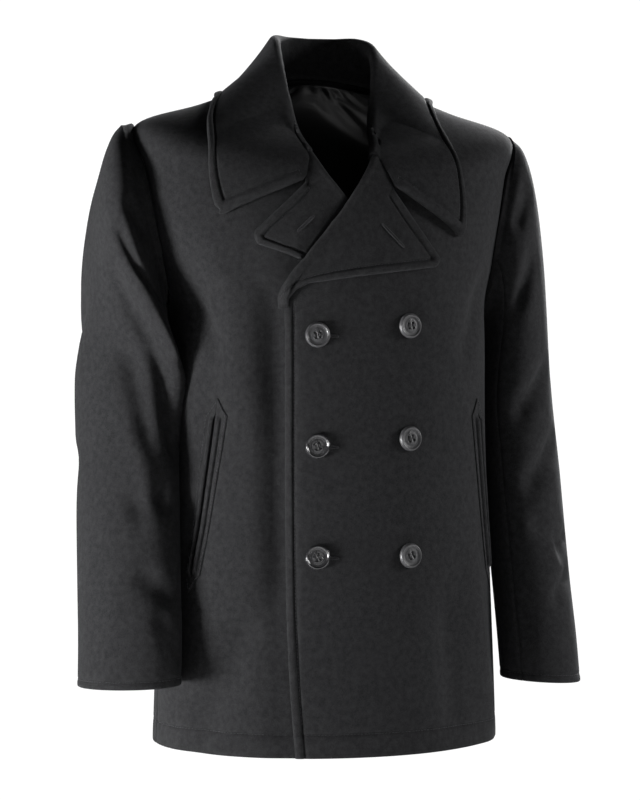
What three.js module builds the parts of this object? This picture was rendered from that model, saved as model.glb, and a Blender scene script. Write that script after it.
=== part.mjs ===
import * as THREE from "three";

// A double-breasted pea coat, filled out as it is when worn.
// Millimetres: +X is the wearer's left, -Y the front, +Z up; z = 0 is the high point of the shoulder.

const wall = 3; // melton cloth
const seam = 0.4; // gap between sewn pieces
const doubled = 5; // two layers of melton at the collar and lapels
const liningWall = 1;
const breastDrop = 4; // how far the right front sinks under the left one
const dropStart = 37; // where the sinking starts, outside the left front's edge
const hangShift = -15; // how far the upper front hangs to the wearer's right

// Rings of the body from the neck to the hem; rises are heights of the front and back above the side.
const bodyRings = [
  { name: "neck", half: 78, front: 60, back: 66, side: -8, frontRise: -72, backRise: 16, square: 2.1 },
  { name: "slope", half: 152, front: 100, back: 98, side: -35, frontRise: -62, backRise: 12, square: 2.1 },
  { name: "point", half: 228, front: 124, back: 120, side: -62, frontRise: -54, backRise: -2, square: 2.2 },
  { name: "yoke", half: 224, front: 138, back: 133, side: -112, frontRise: -36, backRise: -4, square: 2.2 },
  { name: "chest", half: 217, front: 146, back: 140, side: -162, frontRise: -26, backRise: -4, square: 2.2 },
  { name: "scye", half: 204, front: 150, back: 142, side: -214, frontRise: -14, backRise: 0, square: 2.2 },
  { name: "armpit", half: 190, front: 152, back: 142, side: -264, frontRise: 0, backRise: 0, square: 2.2 },
  { name: "breast", half: 189, front: 153, back: 139, side: -330, frontRise: 0, backRise: 0, square: 2.2 },
  { name: "waist", half: 190, front: 153, back: 135, side: -410, frontRise: 0, backRise: 0, square: 2.15 },
  { name: "high hip", half: 194, front: 153, back: 140, side: -500, frontRise: 0, backRise: 0, square: 2.1 },
  { name: "hip", half: 198, front: 154, back: 147, side: -600, frontRise: 0, backRise: 0, square: 2.1 },
  { name: "skirt", half: 202, front: 155, back: 151, side: -700, frontRise: -2, backRise: 0, square: 2.1 },
  { name: "hem", half: 204, front: 156, back: 153, side: -768, frontRise: -4, backRise: 0, square: 2.1 },
];
const ringAt = Object.fromEntries(bodyRings.map((ring, index) => [ring.name, index]));
const hemLevel = bodyRings.length - 1;

// The roll line and edge of the fronts: distance from the centre at each height, past it when negative.
const frontEdge = [
  { z: 0, left: 51, right: 51 },
  { z: -34, left: 52, right: 52 },
  { z: -54, left: 53, right: 53 },
  { z: -87, left: 47, right: 50 },
  { z: -105, left: 37, right: 43 },
  { z: -130, left: 19, right: 29 },
  { z: -154, left: 1, right: 8 },
  { z: -179, left: -20, right: -17 },
  { z: -218, left: -54, right: -54 },
  { z: -242, left: -76, right: -76 },
  { z: -262, left: -87, right: -87 },
  { z: -320, left: -89, right: -89 },
  { z: -600, left: -88, right: -88 },
  { z: -700, left: -84, right: -84 },
  { z: -780, left: -78, right: -78 },
];

// Corners of each turned lapel and collar leaf, as distance from the centre and height.
const lapelCorners = {
  left: {
    gorge: [36, -107],
    notch: [50, -139],
    tip: [104, -219],
    hemStart: [92, -226],
    hemMid: [5, -237],
    foot: [-78, -250],
  },
  right: {
    gorge: [42, -103],
    notch: [50, -133],
    tip: [114, -192],
    hemStart: [108, -203],
    hemMid: [80, -213],
    foot: [62, -221],
  },
};
const leafTip = { left: [135, -191], right: [144, -171] };

// The collar from the centre back to the gorge: where its neck seam, crest and outer edge run.
const collarRows = [
  { neckTurn: 180, crestX: 0, crestY: 66, crestZ: 52, edgeX: 0, edgeY: 118, edgeZ: -46 },
  { neckTurn: 150, crestX: 28, crestY: 60, crestZ: 52, edgeX: 56, edgeY: 110, edgeZ: -46 },
  { neckTurn: 120, crestX: 49, crestY: 38, crestZ: 50, edgeX: 104, edgeY: 78, edgeZ: -44 },
  { neckTurn: 92, crestX: 57, crestY: 8, crestZ: 38, edgeX: 138, edgeY: 20, edgeZ: -34 },
  { neckTurn: 70, crestX: 57, crestY: -20, crestZ: 8, edgeX: 148, edgeY: -38, edgeZ: -55 },
  { neckTurn: 52, crestX: 54, crestY: -38, crestZ: -24, edgeX: 151, edgeY: -74, edgeZ: -95 },
];
const collarClearance = 3.2; // how far the fall stays off the body
const crestRadius = 1.6;
const gorgeGap = { x: 2.2, z: 1.6 }; // space between the collar's end and the lapel
const gorgeClearance = 2.8;
const neckInset = 2.6; // how far inside the neck ring the collar is sewn, at the back
const neckInsetFront = 5;
const gorgeEnd = { height: -32, inside: 4, clear: 5 }; // the crest near the gorge: first height, inset, rise

// Sections of the sleeves: outer and under points in the X-Z plane, then each section's depth and turn.
const sleeveRows = {
  left: [
    { outX: 236, outZ: -64, inX: 192.5, inZ: -267, middleY: 4, half: 58, turn: 0 },
    { outX: 247, outZ: -76, inX: 195, inZ: -275, middleY: 6, half: 66, turn: 4 },
    { outX: 258, outZ: -105, inX: 196, inZ: -284, middleY: 9, half: 71, turn: 8 },
    { outX: 268, outZ: -150, inX: 196.5, inZ: -296, middleY: 13, half: 74, turn: 12 },
    { outX: 276, outZ: -205, inX: 196.5, inZ: -312, middleY: 17, half: 75, turn: 15 },
    { outX: 281, outZ: -265, inX: 196, inZ: -332, middleY: 18, half: 74, turn: 17 },
    { outX: 285, outZ: -325, inX: 195.5, inZ: -355, middleY: 17, half: 73, turn: 18 },
    { outX: 288, outZ: -385, inX: 195.5, inZ: -390, middleY: 11, half: 71, turn: 20 },
    { outX: 291, outZ: -450, inX: 197, inZ: -450, middleY: -1, half: 69, turn: 20 },
    { outX: 293, outZ: -520, inX: 199, inZ: -520, middleY: -14, half: 66, turn: 20 },
    { outX: 295, outZ: -590, inX: 201, inZ: -588, middleY: -28, half: 63, turn: 20 },
    { outX: 297, outZ: -650, inX: 202, inZ: -646, middleY: -42, half: 60, turn: 20 },
    { outX: 298, outZ: -706, inX: 203, inZ: -700, middleY: -53, half: 57, turn: 20 },
  ],
  right: [
    { outX: 245, outZ: -62, inX: 192.5, inZ: -267, middleY: 2, half: 58, turn: 8 },
    { outX: 257, outZ: -76, inX: 195, inZ: -275, middleY: 2, half: 67, turn: 16 },
    { outX: 269, outZ: -105, inX: 196, inZ: -284, middleY: 3, half: 74, turn: 23 },
    { outX: 278, outZ: -150, inX: 196.5, inZ: -296, middleY: 5, half: 80, turn: 28 },
    { outX: 279, outZ: -205, inX: 196.5, inZ: -312, middleY: 6, half: 83, turn: 31 },
    { outX: 275, outZ: -265, inX: 196, inZ: -332, middleY: 6, half: 82, turn: 33 },
    { outX: 274, outZ: -325, inX: 195.5, inZ: -355, middleY: 5, half: 77, turn: 34 },
    { outX: 278, outZ: -385, inX: 195.5, inZ: -390, middleY: 1, half: 72, turn: 35 },
    { outX: 281, outZ: -450, inX: 196, inZ: -450, middleY: -8, half: 70, turn: 36 },
    { outX: 284, outZ: -520, inX: 197, inZ: -518, middleY: -20, half: 69, turn: 37 },
    { outX: 286, outZ: -588, inX: 198, inZ: -584, middleY: -32, half: 68, turn: 38 },
    { outX: 288, outZ: -644, inX: 199, inZ: -640, middleY: -44, half: 67, turn: 39 },
    { outX: 292, outZ: -696, inX: 200, inZ: -692, middleY: -53, half: 65, turn: 40 },
  ],
};
const sleeveCentre = { x: 208, y: 3, z: -163 }; // middle of the armhole's loop
const armholeProud = 1.1; // the sleeve's seam stands this far above the body
const sleeveGap = 3.2; // least space between a sleeve and the body's side
const armholeDepth = 52;
const seamTurns = { front: 118, back: 242 }; // sleeve seams, in degrees round a section from its outer point

// Soft folds: where each starts and ends (turn, height), its depth (troughs are negative) and width.
const bodyFolds = [
  { turn: -30, z: -250, toTurn: -27, toZ: -640, depth: -4, width: 15 },
  { turn: -33, z: -600, toTurn: -62, toZ: -775, depth: -4.5, width: 22 },
  { turn: -48, z: -200, toTurn: -40, toZ: -420, depth: 3, width: 24 },
  { turn: 62, z: -230, toTurn: 40, toZ: -330, depth: -3, width: 16 },
  { turn: 46, z: -560, toTurn: 58, toZ: -775, depth: 4, width: 24 },
  { turn: -66, z: -250, toTurn: -52, toZ: -330, depth: -3, width: 14 },
  { turn: 128, z: -240, toTurn: 140, toZ: -470, depth: -4, width: 22 },
  { turn: -130, z: -230, toTurn: -146, toZ: -450, depth: -4, width: 22 },
  { turn: 155, z: -560, toTurn: 150, toZ: -775, depth: 4, width: 26 },
  { turn: -158, z: -540, toTurn: -152, toZ: -775, depth: 4, width: 26 },
];
const sleeveFolds = {
  right: [
    { turn: 55, z: -160, toTurn: 92, toZ: -196, depth: -5, width: 11 },
    { turn: 40, z: -185, toTurn: 100, toZ: -262, depth: -5, width: 13 },
    { turn: 18, z: -215, toTurn: 96, toZ: -420, depth: -8, width: 15 },
    { turn: 20, z: -310, toTurn: 60, toZ: -430, depth: -6, width: 13 },
    { turn: 62, z: -330, toTurn: 100, toZ: -500, depth: 4, width: 16 },
    { turn: 30, z: -500, toTurn: 78, toZ: -470, depth: -5, width: 14 },
    { turn: 40, z: -560, toTurn: 86, toZ: -600, depth: -3.5, width: 15 },
    { turn: 300, z: -430, toTurn: 262, toZ: -500, depth: -5, width: 16 },
    { turn: 318, z: -250, toTurn: 275, toZ: -330, depth: -5, width: 17 },
  ],
  left: [
    { turn: 40, z: -120, toTurn: 82, toZ: -175, depth: -5, width: 12 },
    { turn: 52, z: -200, toTurn: 98, toZ: -270, depth: -5, width: 13 },
    { turn: 20, z: -330, toTurn: 95, toZ: -400, depth: -6, width: 15 },
    { turn: 12, z: -420, toTurn: 88, toZ: -480, depth: -7, width: 15 },
    { turn: 20, z: -540, toTurn: 84, toZ: -520, depth: -5, width: 13 },
    { turn: 10, z: -590, toTurn: 70, toZ: -620, depth: -4, width: 13 },
    { turn: 305, z: -440, toTurn: 262, toZ: -490, depth: -5, width: 16 },
    { turn: 318, z: -240, toTurn: 275, toZ: -320, depth: -5, width: 17 },
  ],
};

// Buttons: three rows in two columns, and the heights of each row on the left and right columns.
const buttonColumn = 54;
const buttonRows = [
  { left: -292, right: -303 },
  { left: -418, right: -426 },
  { left: -549, right: -549 },
];
const buttonProfile = [
  { radius: 0, height: 0 },
  { radius: 11, height: 0 },
  { radius: 14, height: 1.8 },
  { radius: 13.6, height: 4.2 },
  { radius: 12, height: 5 },
  { radius: 10.2, height: 3.9 },
  { radius: 0, height: 3.4 },
];

// Slash pockets: the slit's ends, and the two jets beside it.
const pocket = { topX: 157, topZ: -392, bottomX: 178, bottomZ: -572, jet: 9, slit: 1.5, proud: 1.6 };

const radians = Math.PI / 180;
const clamp = (value, low, high) => Math.min(high, Math.max(low, value));
const mix = (a, b, t) => a + (b - a) * t;
const vector = (x, y, z) => new THREE.Vector3(x, y, z);

// A share from 0 to 1 with soft ends.
function smooth(t) {
  const k = clamp(t, 0, 1);
  return k * k * (3 - 2 * k);
}

// Smooth value of one column of a table at a place between its rows.
function column(rows, key, place) {
  const last = rows.length - 1;
  const t = clamp(place, 0, last);
  const i = Math.min(Math.floor(t), last - 1);
  const f = t - i;
  const [a, b] = [rows[i][key], rows[i + 1][key]];
  const before = i > 0 ? (b - rows[i - 1][key]) / 2 : b - a;
  const after = i < last - 1 ? (rows[i + 2][key] - a) / 2 : b - a;
  const [f2, f3] = [f * f, f * f * f];
  return a * (2 * f3 - 3 * f2 + 1) + before * (f3 - 2 * f2 + f) + b * (3 * f2 - 2 * f3) + after * (f3 - f2);
}

// Distance of a front's edge or roll line from the centre at a height.
function edgeAt(z, side) {
  const rows = frontEdge;
  if (z >= rows[0].z) return rows[0][side];
  let i = 0;
  while (i < rows.length - 2 && z < rows[i + 1].z) i += 1;
  return column(rows, side, i + clamp((rows[i].z - z) / (rows[i].z - rows[i + 1].z), 0, 1));
}

const signedPower = (value, power) => Math.sign(value) * Math.abs(value) ** power;

// Sum of the folds at a place on the cloth; perTurn is the length of one degree of turn.
function foldHeight(folds, turn, z, perTurn) {
  let height = 0;
  for (const fold of folds) {
    const along = vector((fold.toTurn - fold.turn) * perTurn, fold.toZ - fold.z, 0);
    const from = vector((turn - fold.turn) * perTurn, z - fold.z, 0);
    const place = from.dot(along) / along.lengthSq();
    const aside = from.addScaledVector(along, -clamp(place, 0, 1)).length() / fold.width;
    const fade = smooth((place + 0.15) / 0.4) * smooth((1.15 - place) / 0.4);
    height += fold.depth * Math.exp(-aside * aside) * fade;
  }
  return height;
}

// The body's outer surface at a ring level and a turn in degrees: 0 is the front, 90 the wearer's left.
function bodyPoint(level, turn) {
  const [s, c] = [Math.sin(turn * radians), Math.cos(turn * radians)];
  const power = 2 / column(bodyRings, "square", level);
  const depth = column(bodyRings, c >= 0 ? "front" : "back", level);
  const rise = column(bodyRings, c >= 0 ? "frontRise" : "backRise", level);
  return vector(
    column(bodyRings, "half", level) * signedPower(s, power),
    -depth * signedPower(c, power),
    column(bodyRings, "side", level) + rise * c * c,
  );
}

function bodyNormal(level, turn) {
  const step = 0.02;
  const low = clamp(level - step, 0, hemLevel);
  const high = clamp(level + step, 0, hemLevel);
  const down = bodyPoint(high, turn).sub(bodyPoint(low, turn));
  const round = bodyPoint(level, turn + 1.5).sub(bodyPoint(level, turn - 1.5));
  return down.cross(round).normalize();
}

// A point on the body moved out along its normal, folds included.
function bodyOut(level, turn, out) {
  const point = bodyPoint(level, turn);
  const fold = foldHeight(bodyFolds, turn, point.z, 3);
  return point.addScaledVector(bodyNormal(level, turn), out + fold);
}

// The ring level and turn of the front surface that stand at a distance from the centre and a height.
function placeOnFront(x, z) {
  let [low, high] = [0, hemLevel];
  let turn = 0;
  for (let i = 0; i < 36; i += 1) {
    const level = (low + high) / 2;
    const power = column(bodyRings, "square", level) / 2;
    const half = column(bodyRings, "half", level);
    turn = Math.asin(clamp(signedPower(x / half, power), -1, 1)) / radians;
    if (bodyPoint(level, turn).z > z) low = level;
    else high = level;
  }
  return { level: (low + high) / 2, turn };
}

// How deep the right front lies below the surface, under the left one.
function underLeft(point) {
  const inside = point.x - edgeAt(point.z, "left");
  return breastDrop * smooth((inside + dropStart) / (dropStart - 3));
}

// Turn of a front's inner edge on a ring, counted towards its own side.
function edgeTurn(level, side) {
  let [low, high] = [-80, 80];
  for (let i = 0; i < 30; i += 1) {
    const turn = (low + high) / 2;
    const point = bodyPoint(level, turn);
    if (point.x < edgeAt(point.z, side)) low = turn;
    else high = turn;
  }
  return (low + high) / 2;
}

// Turn of the armhole's edge on a ring, towards the front or the back of the left side.
function armholeTurn(level, towards) {
  const [top, bottom] = [ringAt.point, ringAt.armpit];
  if (level <= top || level >= bottom) return 90;
  const z = column(bodyRings, "side", level);
  const share = (bodyRings[top].side - z) / (bodyRings[top].side - bodyRings[bottom].side);
  const depth = armholeDepth * Math.sin(Math.PI * share) ** 0.6;
  const ratio = depth / column(bodyRings, towards, level);
  const angle = Math.acos(ratio ** (column(bodyRings, "square", level) / 2)) / radians;
  return towards === "front" ? angle : 180 - angle;
}

// The whole upper front hangs a little to one side.
function hang(point) {
  const straightened = 0.8 * smooth((-point.z - 165) / 140);
  const frontness = smooth((20 - point.y) / 110);
  point.x += hangShift * (1 - straightened) * frontness;
  return point;
}

// A closed wall from a grid of outer and inner points; closed grids join their last column to the first.
function clothWall(columns, rows, outer, inner, closed) {
  const points = [];
  const across = closed ? columns : columns + 1;
  for (const place of [outer, inner])
    for (let j = 0; j <= rows; j += 1)
      for (let i = 0; i < across; i += 1) points.push(hang(place(i, j)));
  const half = across * (rows + 1);
  const id = (layer, i, j) => layer * half + j * across + (i % across);
  const faces = [];
  const quad = (a, b, c, d) => faces.push(a, b, c, a, c, d);
  for (let j = 0; j < rows; j += 1)
    for (let i = 0; i < columns; i += 1) {
      quad(id(0, i, j), id(0, i, j + 1), id(0, i + 1, j + 1), id(0, i + 1, j));
      quad(id(1, i, j), id(1, i + 1, j), id(1, i + 1, j + 1), id(1, i, j + 1));
    }
  for (let i = 0; i < columns; i += 1) {
    quad(id(0, i, 0), id(0, i + 1, 0), id(1, i + 1, 0), id(1, i, 0));
    quad(id(0, i + 1, rows), id(0, i, rows), id(1, i, rows), id(1, i + 1, rows));
  }
  if (!closed)
    for (let j = 0; j < rows; j += 1) {
      quad(id(0, 0, j + 1), id(0, 0, j), id(1, 0, j), id(1, 0, j + 1));
      quad(id(0, columns, j), id(0, columns, j + 1), id(1, columns, j + 1), id(1, columns, j));
    }
  const geometry = new THREE.BufferGeometry();
  const places = points.flatMap((point) => point.toArray());
  geometry.setAttribute("position", new THREE.Float32BufferAttribute(places, 3));
  geometry.setIndex(faces);
  facedOut(geometry);
  geometry.computeVertexNormals();
  return geometry;
}

// Turns the faces round when they point into the solid.
function facedOut(geometry) {
  const [place, index] = [geometry.getAttribute("position"), geometry.getIndex().array];
  const corners = [vector(), vector(), vector()];
  let volume = 0;
  for (let i = 0; i < index.length; i += 3) {
    corners.forEach((corner, k) => corner.fromBufferAttribute(place, index[i + k]));
    volume += corners[0].dot(corners[1].clone().cross(corners[2]));
  }
  if (volume >= 0) return;
  for (let i = 0; i < index.length; i += 3)
    [index[i + 1], index[i + 2]] = [index[i + 2], index[i + 1]];
}

const melton = new THREE.MeshStandardMaterial({ color: 0x17181b, roughness: 0.95, side: THREE.DoubleSide });
const satin = new THREE.MeshStandardMaterial({ color: 0x0a0a0c, roughness: 0.35 });
const horn = new THREE.MeshStandardMaterial({ color: 0x2a2a2c, roughness: 0.35 });
const coat = new THREE.Group();

function add(name, geometry, material) {
  const mesh = new THREE.Mesh(geometry, material);
  mesh.name = name;
  coat.add(mesh);
}

// Ring levels of a panel's rows: closer together over the shoulder and the armhole.
const shoulderLevels = [0, 0.3, 0.6, 1, 1.4, 1.75, 2, 2.25, 2.6, 3];
const armholeLevels = [3.5, 4, 4.5, 5, 5.5, 5.8, 6];
const skirtLevels = [6.7, 7.5, 8.3, 9.1, 9.9, 10.7, 11.4, 12];
const frontLevels = [...shoulderLevels, ...armholeLevels, ...skirtLevels];
const backLevels = frontLevels.filter((level) => ![0.3, 1.4, 2.25, 5.8].includes(level));
const liningLevels = [0.04, 1, 2, 3, 4, 4.5, 5, 5.5, 6, 6.6, 7.3, 8, 9, 10, 11, 11.8];
const sideGap = seam * 0.2; // half the gap between two panels, in degrees of turn

// Shares of the way across a panel: a narrow column at each edge for its seam.
function shares(count) {
  return Array.from({ length: count + 1 }, (_, i) => {
    const t = i / count;
    return t - 0.35 * Math.sin(2 * Math.PI * t) / (2 * Math.PI);
  });
}

function frontPanel(side) {
  const sign = side === "left" ? 1 : -1;
  const across = shares(13);
  const place = (out) => (i, j) => {
    const level = frontLevels[j];
    const outer = armholeTurn(level, "front") - sideGap;
    const turn = sign * mix(edgeTurn(level, side), outer, across[i]);
    const sunk = side === "left" ? 0 : underLeft(bodyPoint(level, turn));
    return bodyOut(level, turn, out - sunk);
  };
  return clothWall(across.length - 1, frontLevels.length - 1, place(0), place(-wall), false);
}

function backPanel(side) {
  const sign = side === "left" ? 1 : -1;
  const across = shares(9);
  const place = (out) => (i, j) => {
    const level = backLevels[j];
    const outer = armholeTurn(level, "back") + sideGap;
    return bodyOut(level, sign * mix(180 - sideGap, outer, across[i]), out);
  };
  return clothWall(across.length - 1, backLevels.length - 1, place(0), place(-wall), false);
}

// The lining hangs clear of the back, from side to side.
function backLining() {
  const columns = 14;
  const sideTurn = 4;
  const under = wall + 4;
  const place = (out) => (i, j) => {
    const level = liningLevels[j];
    const outer = armholeTurn(level, "back") + sideTurn;
    return bodyOut(level, (360 - 2 * outer) * (-i / columns) - outer, out);
  };
  return clothWall(columns, liningLevels.length - 1, place(-under), place(-under - liningWall), false);
}

// A point of the armhole's loop, by the turn round the sleeve from its top.
function armholePoint(turn) {
  const share = (1 - Math.cos(turn * radians)) / 2;
  const [top, bottom] = [ringAt.point, ringAt.armpit];
  const z = mix(bodyRings[top].side, bodyRings[bottom].side, share);
  let [low, high] = [top, bottom];
  for (let i = 0; i < 30; i += 1) {
    const level = (low + high) / 2;
    if (column(bodyRings, "side", level) > z) low = level;
    else high = level;
  }
  const edge = armholeTurn((low + high) / 2, turn <= 180 ? "front" : "back");
  return bodyOut((low + high) / 2, edge, armholeProud);
}

// Keeps a point of the sleeve clear of the body's side.
function clearOfBody(point, clearance) {
  if (point.z > bodyRings[ringAt.armpit].side + 10) return point;
  let [low, high] = [ringAt.armpit - 0.5, hemLevel];
  for (let i = 0; i < 24; i += 1) {
    const level = (low + high) / 2;
    if (column(bodyRings, "side", level) > point.z) low = level;
    else high = level;
  }
  const level = (low + high) / 2;
  const half = column(bodyRings, "half", level) + clearance;
  const depth = column(bodyRings, point.y < 0 ? "front" : "back", level) + clearance;
  const square = column(bodyRings, "square", level);
  const left = 1 - (Math.abs(point.y) / depth) ** square;
  if (left > 0) point.x = Math.max(point.x, half * left ** (1 / square));
  return point;
}

// The sleeve's surface, row by row down the arm, as turn 0 outside, 90 front, 180 under and 270 back.
function sleevePoint(side, place, turn, inward) {
  const row = Math.max(place - 1, 0);
  const rowValue = (key) => column(sleeveRows[side], key, row);
  const out = vector(rowValue("outX"), 0, rowValue("outZ"));
  const under = vector(rowValue("inX"), 0, rowValue("inZ"));
  const middle = out.clone().add(under).multiplyScalar(0.5).setY(rowValue("middleY"));
  const long = out.clone().sub(under).multiplyScalar(0.5);
  const [longLength, longWay] = [long.length(), long.clone().normalize()];
  const frontWay = vector(0, -1, 0);
  const twist = rowValue("turn") * radians;
  const [c, s] = [Math.cos(twist), Math.sin(twist)];
  const axisLong = longWay.clone().multiplyScalar(c).addScaledVector(frontWay, s);
  const axisFront = frontWay.clone().multiplyScalar(c).addScaledVector(longWay, -s);
  const at = (grow) => middle.clone()
    .addScaledVector(axisLong, (longLength + grow) * Math.cos(turn * radians))
    .addScaledVector(axisFront, (rowValue("half") + grow) * Math.sin(turn * radians));
  const fold = foldHeight(sleeveFolds[side], turn, at(0).z, 1.05) * smooth((place - 0.5) / 2);
  const ring = clearOfBody(at(fold - inward), sleeveGap + inward);
  if (place >= 1) return ring;
  const armhole = armholePoint(turn);
  const inside = vector(sleeveCentre.x, sleeveCentre.y, sleeveCentre.z).sub(armhole).normalize();
  return armhole.addScaledVector(inside, inward).lerp(ring, smooth(place));
}

function sleevePanel(side, from, to, columns) {
  const rows = [0, 0.5, 1, 2, 3];
  for (let place = 3.5; place <= sleeveRows[side].length; place += 0.5) rows.push(place);
  const trim = 0.25; // half the gap between the two halves, in degrees
  const place = (inward) => (i, j) => {
    const turn = (mix(from + trim, to - trim, i / columns) + 360) % 360;
    const point = sleevePoint(side, rows[j], turn, inward);
    if (side === "right") point.x = -point.x;
    return point;
  };
  return clothWall(columns, rows.length - 1, place(0), place(wall), false);
}

// The outer surface of a front at a distance from the centre and a height, moved out.
function frontOut(side, x, z, out) {
  const { level, turn } = placeOnFront(side === "left" ? x : -x, z);
  const base = bodyPoint(level, turn);
  return bodyOut(level, turn, out - (side === "left" ? 0 : underLeft(base)));
}

// Corner points joined by straight lines, at a share of their whole length.
function alongLine(corners, share) {
  const reach = ([x, z], [fromX, fromZ]) => Math.hypot(x - fromX, z - fromZ);
  const lengths = corners.slice(1).map((corner, i) => reach(corner, corners[i]));
  let rest = clamp(share, 0, 1) * lengths.reduce((sum, length) => sum + length, 0);
  let i = 0;
  while (i < lengths.length - 1 && rest > lengths[i]) {
    rest -= lengths[i];
    i += 1;
  }
  const t = rest / lengths[i];
  return [mix(corners[i][0], corners[i + 1][0], t), mix(corners[i][1], corners[i + 1][1], t)];
}

// Columns across a lapel: share of its width, then the heights of its under and upper sides.
const lapelColumns = [
  { share: 0, aside: -6.5, under: 5.2, upper: 7.6 },
  { share: 0, aside: -4, under: 4.8, upper: 9.8 },
  { share: 0, aside: 2, under: 2.4, upper: 9.8 },
  { share: 0.1, aside: 0, under: 1.3, upper: 6.8 },
  { share: 0.3, aside: 0, under: 1.3, upper: 6.4 },
  { share: 0.5, aside: 0, under: 1, upper: 6.2 },
  { share: 0.7, aside: 0, under: 1, upper: 6 },
  { share: 0.86, aside: 0, under: 1, upper: 5.8 },
  { share: 0.965, aside: 0, under: 1, upper: 6.2 },
  { share: 1, aside: 0, under: 1.4, upper: 4.8 },
];

const lapelFlat = { under: 1.3, upper: 4.3 }; // where the other front covers it
const lapelTrim = { start: 4.5, each: 0.5 }; // how far the covered lapel stays off the other front

function lapel(side) {
  const corners = lapelCorners[side];
  const rows = 14;
  const gorgeZ = corners.gorge[1] - 2.5;
  const footZ = corners.foot[1];
  const rollPoint = (t) => {
    const z = mix(gorgeZ, footZ, t);
    const own = edgeAt(z, side);
    if (side === "left") return [own, z];
    return [Math.max(own, 1.5 - edgeAt(z, "left")), z];
  };
  const edge = [corners.tip, corners.hemStart, corners.hemMid, corners.foot];
  const spread = (i, j) => {
    const t = j / rows;
    const { share, aside } = lapelColumns[i];
    const roll = rollPoint(t);
    const rim = alongLine(edge, t);
    const top = alongLine([corners.gorge, corners.notch, corners.tip], share);
    const [chordX, chordZ] = [0, 1].map((axis) => mix(corners.gorge[axis], corners.tip[axis], share));
    const bend = (1 - t) ** 2;
    const x = mix(roll[0], rim[0], share) + (top[0] - chordX) * bend + aside;
    const z = mix(roll[1], rim[1], share) + (top[1] - chordZ) * bend;
    const covered = side === "right" ? lapelTrim.start + lapelTrim.each * i - edgeAt(z, "left") : -Infinity;
    return [Math.max(x, covered), z, x < covered];
  };
  const place = (key) => (i, j) => {
    const [x, z, trimmed] = spread(i, j);
    const height = trimmed ? lapelFlat[key] : lapelColumns[i][key];
    return frontOut(side, x, z, height);
  };
  return clothWall(lapelColumns.length - 1, rows, place("upper"), place("under"), false);
}

// The body's outward distance of a point, searched round its nearest place.
function nearestOnBody(point) {
  let best = { distance: Infinity, level: 0, turn: 0 };
  const look = (levels, turns) => {
    for (const level of levels)
      for (const turn of turns) {
        const distance = bodyPoint(level, turn).distanceToSquared(point);
        if (distance < best.distance) best = { distance, level, turn };
      }
  };
  const span = (middle, step, count) =>
    Array.from({ length: 2 * count + 1 }, (_, i) => middle + (i - count) * step);
  const inside = (level) => clamp(level, 0, hemLevel);
  look(span(3, 0.25, 12), span(0, 6, 30));
  for (const step of [[0.08, 2], [0.02, 0.5], [0.005, 0.12]])
    look(span(best.level, step[0], 3).map(inside), span(best.turn, step[1], 3));
  return best;
}

// Moves a point out until it lies clear of the body.
function restOnBody(point, clearance) {
  const { level, turn } = nearestOnBody(point);
  const surface = bodyPoint(level, turn);
  const normal = bodyNormal(level, turn);
  const height = point.clone().sub(surface).dot(normal);
  if (height < clearance) point.addScaledVector(normal, clearance - height);
  return point;
}

// Where one cross-section of the collar starts, turns over and ends.
function collarSection(side, place) {
  const sign = side === "left" ? 1 : -1;
  const last = collarRows.length - 1;
  const at = (key) => column(collarRows, key, clamp(place, 0, last));
  const frontness = clamp((place - 2) / 3, 0, 1);
  const neck = bodyPoint(0, sign * at("neckTurn"));
  neck.addScaledVector(vector(-neck.x, -neck.y, 0).normalize(), mix(neckInset, neckInsetFront, frontness));
  const crest = vector(sign * at("crestX"), at("crestY"), at("crestZ"));
  const edge = vector(sign * at("edgeX"), at("edgeY"), at("edgeZ"));
  const toGorge = clamp(place - last, 0, 1);
  if (toGorge > 0) {
    const z = mix(gorgeEnd.height, lapelCorners[side].gorge[1] + 2, toGorge);
    const x = edgeAt(z, side) - gorgeEnd.inside;
    const late = 1 - (1 - toGorge) ** 2;
    crest.lerp(frontOut(side, x, z, gorgeEnd.clear), late);
    neck.lerp(frontOut(side, x - seam, z, -1), late);
    edge.lerp(frontOut(side, leafTip[side][0], leafTip[side][1], 1), toGorge);
  }
  return { neck, crest, edge, toGorge, frontness };
}

const collarFall = [0.05, 0.15, 0.3, 0.45, 0.6, 0.75, 0.88, 0.97, 1];

// The concave side of the collar at one place, from the neck seam over the crest to the outer edge.
function collarGrid(side, place) {
  const { neck, crest, edge, toGorge, frontness } = collarSection(side, place);
  const near = nearestOnBody(crest);
  const level = vector(crest.x, crest.y * 0.9 + 0.001, 0).normalize();
  const over = level.lerp(bodyNormal(near.level, near.turn), smooth(frontness)).normalize();
  const way = crest.clone().sub(edge);
  const up = way.addScaledVector(over, -way.dot(over)).normalize();
  const centre = crest.clone().addScaledVector(up, -crestRadius).addScaledVector(over, crestRadius);
  const towards = edge.clone().sub(centre).normalize();
  const turned = (Math.atan2(towards.dot(over), towards.dot(up)) / radians + 360) % 360;
  const lastAngle = clamp(turned, 100, 180);
  const onCrest = (angle) => centre.clone()
    .addScaledVector(over, -crestRadius * Math.cos(angle * radians))
    .addScaledVector(up, crestRadius * Math.sin(angle * radians));
  const points = [neck.clone(), neck.clone().lerp(crest, 0.5)];
  for (const part of [0, 0.25, 0.5, 0.75, 1]) points.push(onCrest(part * lastAngle));
  const start = onCrest(lastAngle);
  const { gorge, notch } = lapelCorners[side];
  for (const share of collarFall) {
    const point = start.clone().lerp(edge, share);
    if (toGorge > 0) {
      const [x, z] = alongLine([gorge, notch, leafTip[side]], share);
      point.lerp(frontOut(side, x + gorgeGap.x, z + gorgeGap.z, seam), toGorge ** 2);
    }
    points.push(restOnBody(point, collarClearance + gorgeClearance * Math.sin(Math.PI * toGorge)));
  }
  return points;
}

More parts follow.
